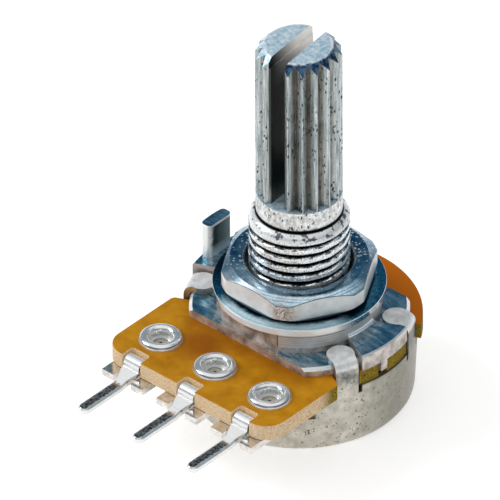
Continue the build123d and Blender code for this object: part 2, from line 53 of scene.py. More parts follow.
# Points nearer than WELD are merged, faces flatter than FLAT_ANGLE are joined, and pieces that
# meet sink into each other by an overlap
WELD = 0.0002 * MM
FLAT_ANGLE = radians(0.4)
OVERLAP = 0.05 * MM
THREAD_OVERLAP = 0.03 * MM
LATHE_STEPS = 144

# Terminals and their rivets stand in a row in front of the shaft
PINS = ("left", "centre", "right")
TERMINAL_PITCH = 5.0 * MM
SHEET_TOP = 5.02 * MM
TONGUE_FRONT = -12.75 * MM
PIN_SHOULDER = -13.2 * MM
PIN_HALF_WIDTH = 0.45 * MM
RIVET_ROW = 8.7 * MM
RIVET_FLOOR = 5.9 * MM
RIVET_FLOOR_RADIUS = 0.5 * MM
RIVET_ROLL_RADIUS = 1.55 * MM
PUNCH_MARK_RADIUS = 0.16 * MM

# The board's face, with the strip of painted shade before the casting, as two X, and a dark patch
BOARD_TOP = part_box("element_board")[1].z
SHADED_STRIP = (-5.0 * MM, 5.8 * MM)
DARK_PATCH = (-2.6 * MM, -7.2 * MM, BOARD_TOP)
DARK_PATCH_REACH = 2.6 * MM

# The can: where its cut-out for the terminals ends, and where its tabs begin to bend
CAN_CUTOUT = -5.2 * MM
TAB_BEND = 6.6 * MM

# The casting: its front edge, the boss with a flat in front, and the lug on its wing
PLATE_FRONT = -5.45 * MM
BOSS_RADIUS = 5.7 * MM
BOSS_FOOT = 7.3 * MM
BOSS_FRONT = -5.1 * MM
BOSS_FLAT_END = 2.5 * MM
LUG_FOOT = 7.9 * MM
LUG_TOP = 10.5 * MM
LUG_INNER_SIDE = 7.25 * MM

# The bushing above the seat face, and its M7 x 0.75 thread
SEAT_LEVEL = 8.5 * MM
BUSHING_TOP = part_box("front_plate")[1].z
BUSHING_RADIUS = 3.5 * MM
LEAD_IN_RADIUS = 3.02 * MM
LEAD_IN_HEIGHT = 0.6 * MM
LEAD_IN_CURVE = 2.4
RELIEF_RADIUS = 3.1 * MM
RELIEF_HEIGHT = 0.35 * MM
BORE_RADIUS = 2.53 * MM
THREAD_PITCH = 0.75 * MM
THREAD_DEPTH = 0.44 * MM
THREAD_FADE = 0.35 * MM

# Where a flank of the thread starts and ends, on the way from the middle of a crest to a groove's
FLANK_START = 0.42
FLANK_END = 0.96

# The nut, and its corner that has begun to rust, as an angle about the shaft
NUT_FOOT = SEAT_LEVEL + 0.5 * MM
NUT_MIDDLE = SEAT_LEVEL + 1.5 * MM
NUT_HALF_WIDTH = 5.0 * MM
NUT_CORNER_RADIUS = 5.5 * MM
RUSTY_CORNER = radians(-61.0)
RUST_REACH = 1.3 * MM

# The shaft's knurl has sharp teeth, and the slot takes away the crest on its own middle
SHAFT_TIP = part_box("control_shaft")[1].z
SHAFT_RADIUS = 3.0 * MM
KNURL_FOOT = 16.7 * MM
KNURL_TEETH = 18
KNURL_CREST = 3.03 * MM
KNURL_VALLEY = 2.46 * MM
TIP_CHAMFER = 0.65 * MM
TIP_RADIUS = SHAFT_RADIUS - TIP_CHAMFER
SLOT_TURN = radians(6.5)
SLOT_WIDTH = 1.1 * MM
SLOT_MOUTH_WIDTH = 1.3 * MM
SLOT_MOUTH_DEPTH = 0.8 * MM

# Directions about the shaft: the side on which the metal is painted bright as if lit, and the side to its
# left
PAINTED_LIT_SIDE = (0.669, -0.743)
LEFT_SIDE = (-0.743, -0.669)

# Camera, near enough to parallel: a long way off with a long lens
CAMERA_AZIMUTH = radians(42.0)
CAMERA_ELEVATION = radians(36.5)
CAMERA_ROLL = radians(-0.3)
CAMERA_DISTANCE = 1.5
IMAGE_SIZE = 500
PIXELS_PER_METRE = 14560
SEAT_PIXEL = (299.3, 285.0)
SENSOR = 36.0

# Studio: the strengths of the world's light and the floor's glow, and the two lamps
WORLD_LIGHT = 0.55
FLOOR_REACH = 1.2
FLOOR_GLOW = 0.54
LAMP_SIZE = 0.20
KEY_PLACE = (-0.28, -0.16, 0.26)
KEY_POWER = 0.52
FILL_PLACE = (0.26, -0.26, 0.14)
FILL_POWER = 0.06


class Graph:
    """Adds nodes to a tree, with their settings, values and links in one call."""

    def __init__(self, tree):
        self.tree = tree

    def node(self, kind, values=None, **settings):
        made = self.tree.nodes.new(kind)
        for name, value in settings.items():
            setattr(made, name, value)
        for socket, value in (values or {}).items():
            if isinstance(value, bpy.types.NodeSocket):
                self.tree.links.new(value, made.inputs[socket])
            else:
                made.inputs[socket].default_value = value
        return made

    def math(self, operation, *values):
        kind = "ShaderNodeMath"
        return self.node(kind, dict(enumerate(values)), operation=operation).outputs[0]

    def times(self, first, second):
        return self.math("MULTIPLY", first, second)

    def remap(self, value, low, high, to_low=0.0, to_high=1.0):
        values = {"Value": value, "From Min": low, "From Max": high, "To Min": to_low, "To Max": to_high}
        return self.node("ShaderNodeMapRange", values).outputs["Result"]

    def mix(self, factor, first, second):
        """Mixes two colours; a colour is a socket or an RGB triple."""
        values = {0: factor}
        for socket, colour in ((6, first), (7, second)):
            values[socket] = colour if isinstance(colour, bpy.types.NodeSocket) else (*colour, 1)
        return self.node("ShaderNodeMix", values, data_type="RGBA").outputs[2]


def new_group(name, inputs, outputs):
    """A shader node group with named sockets, and a graph to fill it."""
    tree = bpy.data.node_groups.new(name, "ShaderNodeTree")
    for label, kind, value in inputs:
        socket = tree.interface.new_socket(label, in_out="INPUT", socket_type=kind)
        if value is not None:
            socket.default_value = value
    for label, kind in outputs:
        tree.interface.new_socket(label, in_out="OUTPUT", socket_type=kind)
    graph = Graph(tree)
    source = graph.node("NodeGroupInput")
    sink = graph.node("NodeGroupOutput")
    return graph, source.outputs, sink.inputs


FLOAT = "NodeSocketFloat"
VECTOR = "NodeSocketVector"


def contrasted(graph, noise, contrast):
    """Noise spread about its middle value and kept between 0 and 1."""
    spread = graph.times(graph.math("SUBTRACT", noise, 0.5), contrast)
    return graph.node("ShaderNodeMath", {0: spread, 1: 0.5}, operation="ADD", use_clamp=True).outputs[0]


def cloud_group():
    """Soft cloudy variation; Size is the size of a patch in metres."""
    graph, source, sink = new_group(
        "cloudy_variation",
        [("Vector", VECTOR, None), ("Size", FLOAT, MM), ("Detail", FLOAT, 3.0), ("Contrast", FLOAT, 2.0)],
        [("Value", FLOAT)],
    )
    scale = graph.math("DIVIDE", 1.0, source["Size"])
    values = {"Vector": source["Vector"], "Scale": scale, "Detail": source["Detail"], "Roughness": 0.6}
    noise = graph.node("ShaderNodeTexNoise", values).outputs["Fac"]
    graph.tree.links.new(contrasted(graph, noise, source["Contrast"]), sink["Value"])
    return graph.tree


def pit_group():
    """Small irregular specks; Share runs from 0, none, to 1, many."""
    graph, source, sink = new_group(
        "scattered_pits",
        [("Vector", VECTOR, None), ("Size", FLOAT, MM), ("Share", FLOAT, 0.3), ("Patch", FLOAT, MM)],
        [("Mask", FLOAT)],
    )
    scale = graph.math("DIVIDE", 1.0, source["Size"])
    cell_values = {"Vector": source["Vector"], "Scale": scale, "Randomness": 1.0}
    cells = graph.node("ShaderNodeTexVoronoi", cell_values)
    grain_values = {"Vector": source["Vector"], "Scale": graph.times(scale, 2.3), "Detail": 2.0}
    grain = graph.node("ShaderNodeTexNoise", grain_values).outputs["Fac"]

    # A pit is where the distance from a cell's middle, made ragged by the grain, stays small
    ragged = graph.math("ADD", cells.outputs["Distance"], graph.times(grain, 0.8))
    patch_scale = graph.math("DIVIDE", 1.0, source["Patch"])
    patch_values = {"Vector": source["Vector"], "Scale": patch_scale, "Detail": 1.0}
    patch = graph.node("ShaderNodeTexNoise", patch_values).outputs["Fac"]
    reach = graph.times(graph.times(patch, source["Share"]), 0.9)
    depth = graph.math("SUBTRACT", graph.math("ADD", reach, 0.28), ragged)
    mask = graph.remap(depth, 0.0, 0.16)
    graph.tree.links.new(mask, sink["Mask"])
    return graph.tree


def streak_group():
    """Fine lines along Z, as a die or a drawing mill leaves them."""
    graph, source, sink = new_group(
        "drawn_streaks",
        [("Vector", VECTOR, None), ("Width", FLOAT, MM), ("Length", FLOAT, MM), ("Contrast", FLOAT, 2.0)],
        [("Value", FLOAT)],
    )
    across = graph.math("DIVIDE", 1.0, source["Width"])
    lengthwise = graph.math("DIVIDE", 1.0, source["Length"])
    scale = graph.node("ShaderNodeCombineXYZ", {"X": across, "Y": across, "Z": lengthwise})
    values = {0: source["Vector"], 1: scale.outputs[0]}
    stretched = graph.node("ShaderNodeVectorMath", values, operation="MULTIPLY").outputs[0]
    noise_values = {"Vector": stretched, "Scale": 1.0, "Detail": 3.0, "Roughness": 0.6}
    noise = graph.node("ShaderNodeTexNoise", noise_values).outputs["Fac"]
    graph.tree.links.new(contrasted(graph, noise, source["Contrast"]), sink["Value"])
    return graph.tree


CLOUDS = cloud_group()
PITS = pit_group()
STREAKS = streak_group()


class Finish(Graph):
    """A material with one Principled shader, whose patterns read Object coordinates."""

    def __init__(self, name, metallic=0.0):
        self.material = bpy.data.materials.new(name)
        self.material.use_nodes = True
        super().__init__(self.material.node_tree)
        self.tree.nodes.clear()
        sink = self.node("ShaderNodeOutputMaterial")
        self.shader = self.node("ShaderNodeBsdfPrincipled", {"Metallic": metallic})
        self.tree.links.new(self.shader.outputs[0], sink.inputs["Surface"])
        self.place = self.node("ShaderNodeTexCoord").outputs["Object"]

    def group(self, tree, place=None, **values):
        """A shared pattern, read at the piece's own place unless another one is given."""
        values["Vector"] = place or self.place
        return self.node("ShaderNodeGroup", values, node_tree=tree).outputs[0]

    def clouds(self, size, detail=3.0, contrast=2.0):
        return self.group(CLOUDS, Size=size, Detail=detail, Contrast=contrast)

    def pits(self, size, share, patch=MM, stretch=1.0):
        """Specks that gather in patches and are drawn out along Z."""
        return self.group(PITS, self.stretched(1, 1, 1 / stretch), Size=size, Share=share, Patch=patch)

    def streaks(self, width, length, contrast=2.0):
        return self.group(STREAKS, Width=width, Length=length, Contrast=contrast)

    def rings(self, width, contrast=2.0):
        """Fine rings about the shaft's axis, a little broken up: turning lines on the nut, and rings of
        painted reflection on the washer.
        """
        lifted = self.math("ADD", self.radius(), self.times(self.clouds(0.8 * MM), 0.4 * width))
        spot = self.node("ShaderNodeCombineXYZ", {"X": lifted}).outputs[0]
        return self.group(CLOUDS, spot, Size=width, Contrast=contrast)

    def set(self, **sockets):
        names = {"colour": "Base Color", "roughness": "Roughness", "metallic": "Metallic"}
        for name, value in sockets.items():
            self.tree.links.new(value, self.shader.inputs[names[name]])

    def bump(self, height, distance):
        made = self.node("ShaderNodeBump", {"Height": height, "Distance": distance, "Strength": 1.0})
        self.tree.links.new(made.outputs["Normal"], self.shader.inputs["Normal"])

    def stretched(self, x, y, z):
        """The piece's own place with its axes scaled, so that a pattern is drawn out."""
        values = {0: self.place, 1: (x, y, z)}
        return self.node("ShaderNodeVectorMath", values, operation="MULTIPLY").outputs[0]

    def part(self, vector, axis):
        return self.node("ShaderNodeSeparateXYZ", {0: vector}).outputs[axis]

    def along_x(self):
        return self.part(self.place, "X")

    def along_y(self):
        return self.part(self.place, "Y")

    def height(self):
        return self.part(self.place, "Z")

    def upward(self):
        """The Z part of the surface's normal."""
        return self.part(self.node("ShaderNodeNewGeometry").outputs["Normal"], "Z")

    def sideways(self):
        """The X part of the surface's normal."""
        return self.part(self.node("ShaderNodeNewGeometry").outputs["Normal"], "X")

    def flat_length(self, x, y):
        flat = self.node("ShaderNodeCombineXYZ", {"X": x, "Y": y}).outputs[0]
        return self.node("ShaderNodeVectorMath", {0: flat}, operation="LENGTH").outputs["Value"]

    def radius(self):
        """Distance from the shaft's axis, in metres."""
        return self.flat_length(self.along_x(), self.along_y())

    def from_terminal(self):
        """X from the middle of the nearest terminal."""
        half = TERMINAL_PITCH / 2
        return self.math("WRAP", self.along_x(), half, -half)

    def from_rivet(self):
        """Distance from the axis of the nearest rivet."""
        return self.flat_length(self.from_terminal(), self.math("ADD", self.along_y(), RIVET_ROW))

    def near(self, point, reach):
        """1 at a point, fading to 0 at a distance."""
        offset = self.node("ShaderNodeVectorMath", {0: self.place, 1: point}, operation="DISTANCE")
        return self.remap(offset.outputs["Value"], reach, 0.3 * reach)

    def between(self, value, low, high, soft):
        """1 where a value lies between two limits, with soft ends."""
        above = self.remap(value, low - soft, low + soft)
        return self.times(above, self.remap(value, high - soft, high + soft, 1.0, 0.0))

    def towards(self, x, y, low, high):
        """Fades from 0 to 1 as the side about the shaft turns towards a direction."""
        sideways = self.node("ShaderNodeVectorMath", {0: self.place, 1: (x, y, 0)}, operation="DOT_PRODUCT")
        share = self.math("DIVIDE", sideways.outputs["Value"], self.radius())
        return self.remap(share, low, high)


def boss_sides(finish, sides):
    """Silvery turned lines to the right of the boss's flat, with a line of painted shade at the corner where
    they begin.
    """
    lines = finish.node("ShaderNodeCombineXYZ", {"Z": finish.height()}).outputs[0]
    lines = finish.group(CLOUDS, lines, Size=0.14 * MM, Contrast=5.0)
    silvery = finish.mix(lines, (0.30, 0.31, 0.30), (0.92, 0.94, 0.93))
    right_of_flat = finish.remap(finish.along_x(), BOSS_FLAT_END + 0.04 * MM, BOSS_FLAT_END + 0.10 * MM)
    above_foot = finish.remap(finish.height(), BOSS_FOOT - 0.05 * MM, BOSS_FOOT + 0.05 * MM)
    within = finish.remap(finish.radius(), BOSS_RADIUS + 0.6 * MM, BOSS_RADIUS + 0.5 * MM)
    in_boss = finish.times(above_foot, within)
    turned_side = finish.times(right_of_flat, in_boss)
    sides = finish.mix(finish.times(turned_side, 0.8), sides, silvery)
    # Painted shade: a dark line down the corner between the boss's flat and its round side
    corner_shade_line = finish.between(finish.along_x(), BOSS_FLAT_END - 0.03 * MM, BOSS_FLAT_END + 0.05 * MM, 0.02 * MM)
    in_front = finish.remap(finish.along_y(), BOSS_FRONT + 1.1 * MM, BOSS_FRONT + 0.9 * MM)
    corner_shade_line = finish.times(corner_shade_line, in_front)
    return finish.mix(finish.times(corner_shade_line, in_boss), sides, (0.03, 0.03, 0.03))


def lug_painted_reflection(finish, waver):
    """The lug's sides as a painted reflection: dark behind a pale front edge, with a painted highlight on
    the foot and on the top edge.
    """
    # Painted reflection: pale and dark bands across the lug's mirror-bright sides
    wavy = finish.math("ADD", finish.along_y(), finish.times(waver, 0.3 * MM))
    shade = finish.mix(finish.remap(wavy, -0.2 * MM, 1.0 * MM), (0.01, 0.035, 0.035), (0.22, 0.32, 0.34))
    shade = finish.mix(finish.remap(wavy, -0.55 * MM, -0.85 * MM), shade, (0.92, 0.94, 0.94))
    at_foot = finish.remap(finish.height(), LUG_FOOT + 0.9 * MM, LUG_FOOT)
    shade = finish.mix(at_foot, shade, (0.66, 0.74, 0.78))
    at_top = finish.remap(finish.height(), LUG_TOP - 0.24 * MM, LUG_TOP - 0.16 * MM)
    return finish.mix(at_top, shade, (1.0, 1.0, 1.0))


def cast_plate_finish():
    """Zinc plating, painted steel blue and mottled on top as a painted reflection of the dark ceiling, a
    satin pinkish grey on the sides.
    """
    finish = Finish("bright_cast_zinc")
    grain = finish.clouds(0.16 * MM, detail=4.0, contrast=2.0)
    drawn_out = finish.stretched(0.45, 1.5, 1.0)
    patch = finish.group(CLOUDS, drawn_out, Size=0.6 * MM, Detail=7.0, Contrast=5.0)
    # Painted reflection: the tops' steel blue and pale mottling stand for the dark ceiling band they mirror
    tops = finish.mix(patch, (0.10, 0.32, 0.46), (0.92, 0.98, 1.0))
    tops = finish.mix(finish.times(grain, 0.5), tops, (0.04, 0.22, 0.36))
    broad = finish.clouds(1.1 * MM, detail=6.0, contrast=4.0)
    sides = finish.mix(broad, (0.30, 0.25, 0.22), (0.86, 0.80, 0.76))
    sides = finish.mix(finish.times(grain, 0.3), sides, (0.34, 0.30, 0.27))
    sides = boss_sides(finish, sides)
    up = finish.remap(finish.upward(), 0.35, 0.8)
    before_boss = finish.remap(finish.along_y(), BOSS_FRONT + 0.08 * MM, BOSS_FRONT - 0.04 * MM)
    near_boss = finish.remap(finish.radius(), BOSS_RADIUS + 0.25 * MM, BOSS_RADIUS)
    in_shade = finish.times(before_boss, near_boss)
    up = finish.times(up, finish.math("SUBTRACT", 1.0, in_shade))
    colour = finish.mix(up, sides, tops)
    in_lug = finish.between(finish.height(), LUG_FOOT, LUG_TOP + 0.1 * MM, 0.15 * MM)
    far_out = finish.remap(finish.radius(), LUG_INNER_SIDE - 0.25 * MM, LUG_INNER_SIDE - 0.15 * MM)
    in_lug = finish.times(in_lug, far_out)
    on_side = finish.times(in_lug, finish.math("SUBTRACT", 1.0, up))
    colour = finish.mix(on_side, colour, lug_painted_reflection(finish, broad))
    # Painted highlight: the eased edges are painted near white and made less metallic
    eased = finish.between(finish.upward(), 0.35, 0.90, 0.05)
    colour = finish.mix(finish.times(eased, 0.8), colour, (1.0, 1.0, 1.0))
    finish.set(
        colour=colour,
        roughness=finish.remap(up, 0.0, 1.0, 0.42, 0.20),
        metallic=finish.remap(finish.math("SUBTRACT", up, eased), 0.0, 1.0, 0.50, 1.0),
    )
    finish.bump(grain, 0.0015 * MM)
    return finish.material


def rolled_thread_finish():
    """Polished crests above valleys painted dark as shade, and a lead-in painted pale as a highlight, with
    painted dark reflections where it slopes.
    """
    finish = Finish("rolled_thread")
    wear = finish.clouds(0.2 * MM, detail=4.0, contrast=3.4)
    out = finish.math("ADD", finish.radius(), finish.times(wear, 0.10 * MM))
    # Painted shade: the valleys are painted near black; painted highlight: the plain lead-in is painted pale
    # and made less metallic
    crest = finish.remap(out, RELIEF_RADIUS + 0.24 * MM, BUSHING_RADIUS)
    plain = finish.remap(finish.height(), BUSHING_TOP - LEAD_IN_HEIGHT, BUSHING_TOP - 0.8 * LEAD_IN_HEIGHT)
    crest = finish.math("MAXIMUM", crest, plain)
    colour = finish.mix(crest, (0.01, 0.015, 0.02), (0.95, 0.97, 0.98))
    # Painted reflection: dark blue blots where the lead-in faces upwards, as the dark ceiling mirrored there
    dark_reflection_blots = finish.remap(finish.clouds(0.55 * MM, detail=2.5, contrast=4.0), 0.66, 0.78)
    dark_reflection_blots = finish.times(dark_reflection_blots, finish.remap(finish.upward(), 0.05, 0.4))
    colour = finish.mix(finish.times(dark_reflection_blots, 0.85), colour, (0.01, 0.03, 0.06))
    grime = finish.remap(finish.clouds(0.11 * MM, detail=4.0, contrast=5.0), 0.55, 0.95, 0.0, 0.6)
    threaded = finish.math("SUBTRACT", 1.0, finish.times(plain, 0.85))
    colour = finish.mix(finish.times(grime, threaded), colour, (0.04, 0.05, 0.06))
    specks = finish.times(finish.pits(0.16 * MM, 0.4, patch=0.8 * MM), threaded)
    colour = finish.mix(specks, colour, (0.06, 0.09, 0.11))
    flank = finish.remap(finish.upward(), -0.1, 0.5, 0.5, 1.0)
    # Painted shade: the bushing's top, in the gap under the shaft's band, is painted near black
    bushing_gap_shade = finish.remap(finish.height(), BUSHING_TOP - 0.05 * MM, BUSHING_TOP - 0.01 * MM)
    finish.set(
        colour=finish.mix(bushing_gap_shade, colour, (0.01, 0.01, 0.01)),
        roughness=finish.remap(wear, 0.0, 1.0, 0.12, 0.30),
        metallic=finish.math("SUBTRACT", flank, finish.times(plain, 0.75)),
    )
    return finish.material


def washer_finish():
    """Mirror-bright plating with painted reflections, dark blue beside the nut and away from the terminals,
    pale with cyan rings towards the front, and a painted shadow under the nut.
    """
    finish = Finish("bright_washer")
    waver = finish.clouds(0.7 * MM, contrast=2.0)
    grain = finish.clouds(0.16 * MM, detail=4.0, contrast=3.5)
    out = finish.math("ADD", finish.radius(), finish.times(waver, 0.3 * MM))
    # Painted reflection: blue where the top mirrors the dark ceiling, darker on the left, pale and less
    # metallic towards the front, with cyan rings
    open_ring = finish.remap(out, NUT_HALF_WIDTH + 0.15 * MM, NUT_HALF_WIDTH + 0.55 * MM)
    lit = finish.times(open_ring, finish.towards(0.42, -0.906, 0.55, 0.75))
    blue = finish.mix(grain, (0.01, 0.16, 0.28), (0.18, 0.52, 0.70))
    blue = finish.mix(finish.towards(-0.85, -0.2, 0.6, 0.85), blue, (0.01, 0.05, 0.09))
    pale = finish.mix(grain, (0.62, 0.88, 0.96), (1.0, 1.0, 1.0))
    ring_reflections = finish.times(finish.rings(0.22 * MM, contrast=5.0), 0.7)
    pale = finish.mix(ring_reflections, pale, (0.10, 0.46, 0.66))
    colour = finish.mix(lit, blue, pale)
    # Painted shadow: near black just outside the nut's flats
    nut_shadow = finish.remap(out, NUT_HALF_WIDTH + 0.25 * MM, NUT_HALF_WIDTH)
    colour = finish.mix(finish.times(nut_shadow, 0.8), colour, (0.005, 0.02, 0.04))
    rim = finish.remap(finish.upward(), 0.9, 0.6)
    finish.set(
        colour=finish.mix(rim, colour, (0.92, 0.93, 0.93)),
        roughness=finish.remap(grain, 0.0, 1.0, 0.08, 0.22),
        metallic=finish.remap(lit, 0.0, 1.0, 1.0, 0.15),
    )
    return finish.material


def rusted(finish, plated):
    """Plating with brown pores about the nut's worn corner."""
    corner = Vector((cos(RUSTY_CORNER), sin(RUSTY_CORNER), 0)) * NUT_CORNER_RADIUS
    corner.z = NUT_MIDDLE
    worn = finish.near(corner, RUST_REACH)
    pores = finish.clouds(0.14 * MM, contrast=5.0)
    rust = finish.mix(finish.clouds(0.1 * MM), (0.10, 0.05, 0.03), (0.50, 0.36, 0.28))
    return finish.mix(finish.times(worn, pores), plated, rust)


def nut_finish():
    """Bright nickel, painted blue-grey on top as a reflection and with painted light and shade on its warm
    flats, with rust at one worn corner.
    """
    finish = Finish("nickelled_nut")
    grain = finish.clouds(0.16 * MM, detail=4.0, contrast=3.0)
    turned_marks = finish.rings(0.18 * MM, contrast=7.0)
    patch = finish.clouds(1.0 * MM, detail=6.0, contrast=5.0)
    # Painted reflection and light: the top is painted dark blue as the mirrored ceiling, pale with patches
    # on the side painted as lit
    lit = finish.times(finish.towards(*PAINTED_LIT_SIDE, -0.1, 0.7), 0.9)
    tops = finish.mix(lit, (0.05, 0.20, 0.34), (0.60, 0.86, 0.98))
    tops = finish.mix(finish.times(turned_marks, lit), tops, (0.04, 0.20, 0.34))
    tops = finish.mix(finish.times(patch, 0.5), tops, (0.95, 1.0, 1.0))
    tops = finish.mix(finish.times(grain, 0.45), tops, (0.05, 0.20, 0.34))
    unlit = finish.math("SUBTRACT", 0.9, lit)
    nicks = finish.times(finish.pits(0.30 * MM, 1.0, patch=1.6 * MM), unlit)
    tops = finish.mix(nicks, tops, (1.0, 1.0, 1.0))
    soft = finish.clouds(0.9 * MM, detail=5.0, contrast=2.0)
    # Painted light and shade: the flats facing front are painted pale as lit, the others darker as shaded
    lit_flat_colour = finish.mix(soft, (0.80, 0.78, 0.77), (1.0, 0.99, 0.98))
    shaded_flat_colour = finish.mix(soft, (0.44, 0.47, 0.48), (0.68, 0.71, 0.72))
    on_lit_flats = finish.towards(-0.02, -1.0, 0.80, 0.88)
    sides = finish.mix(on_lit_flats, shaded_flat_colour, lit_flat_colour)
    up = finish.remap(finish.upward(), 0.5, 0.95)
    colour = rusted(finish, finish.mix(up, sides, tops))
    # Painted shade: the countersink about the thread is painted near black
    countersink_shade = finish.remap(finish.radius(), BUSHING_RADIUS + 0.30 * MM, BUSHING_RADIUS + 0.22 * MM)
    plating = finish.math("SUBTRACT", finish.remap(up, 0.0, 1.0, 0.47, 1.0), nicks)
    plating = finish.math("SUBTRACT", plating, finish.times(on_lit_flats, 0.4))
    # Painted shadow: a near-black band at the nut's lowest edge, above the washer
    foot_shadow = finish.remap(finish.height(), NUT_FOOT + 0.45 * MM, NUT_FOOT + 0.30 * MM)
    colour = finish.mix(foot_shadow, colour, (0.03, 0.04, 0.05))
    # Painted reflection: a dark line on the eased edges between the chamfer and the flats
    edge_dark_reflection = finish.between(finish.upward(), 0.12, 0.70, 0.06)
    colour = finish.mix(finish.times(edge_dark_reflection, 0.85), colour, (0.01, 0.02, 0.03))
    finish.set(
        colour=finish.mix(countersink_shade, colour, (0.03, 0.04, 0.05)),
        roughness=finish.remap(up, 0.0, 1.0, 0.34, 0.16),
        metallic=finish.remap(plating, 0.0, 1.0, 0.25, 1.0),
    )
    finish.bump(grain, 0.0008 * MM)
    return finish.material


def can_finish():
    """Dull plated sheet, warm grey with dark specks and painted shade towards the right; its tabs have
    painted shade below a painted highlight on their fold.
    """
    finish = Finish("dull_can_sheet")
    clouded = finish.clouds(0.8 * MM, detail=4.0, contrast=2.6)
    base = finish.mix(clouded, (0.42, 0.40, 0.33), (0.70, 0.67, 0.59))
    specks = finish.pits(0.3 * MM, 0.75, patch=1.2 * MM)
    base = finish.mix(specks, base, (0.16, 0.14, 0.10))
    # Painted shade: the sheet is painted darker towards the right, away from the light
    shaded_side = finish.times(finish.towards(0.95, 0.31, 0.76, 0.99), 0.8)
    base = finish.mix(shaded_side, base, (0.22, 0.21, 0.17))
    # Painted shade: a dark cloudy band on each tab's side just below its bend
    tab_shade = finish.between(finish.height(), TAB_BEND - 1.4 * MM, TAB_BEND + 0.3 * MM, 0.4 * MM)
    tab_shade = finish.times(tab_shade, finish.clouds(0.7 * MM, contrast=2.4))
    base = finish.mix(tab_shade, base, (0.10, 0.11, 0.11))
    # Painted highlight: the fold is painted near white and made less metallic, its flat top painted pale as
    # if lit
    fold_highlight = finish.remap(finish.height(), TAB_BEND - 0.15 * MM, TAB_BEND + 0.15 * MM)
    fold_highlight = finish.times(fold_highlight, finish.remap(finish.upward(), 0.05, 0.30))
    fold_highlight_colour = finish.mix(finish.clouds(0.5 * MM, contrast=3.0), (0.74, 0.76, 0.74), (1.0, 1.0, 1.0))
    flat_top = finish.remap(finish.upward(), 0.80, 0.97)
    lit_top_colour = finish.mix(finish.clouds(0.6 * MM, contrast=3.0), (0.66, 0.68, 0.68), (1.0, 1.0, 1.0))
    fold_highlight_colour = finish.mix(flat_top, fold_highlight_colour, lit_top_colour)
    shiny = finish.remap(flat_top, 0.0, 1.0, 0.30, 0.10)
    dull = finish.times(finish.math("SUBTRACT", 1.0, fold_highlight), 0.80)
    finish.set(
        colour=finish.mix(fold_highlight, base, fold_highlight_colour),
        roughness=finish.remap(finish.clouds(0.15 * MM), 0.0, 1.0, 0.26, 0.46),
        metallic=finish.math("ADD", dull, finish.times(fold_highlight, shiny)),
    )
    finish.bump(finish.clouds(0.12 * MM), 0.003 * MM)
    return finish.material


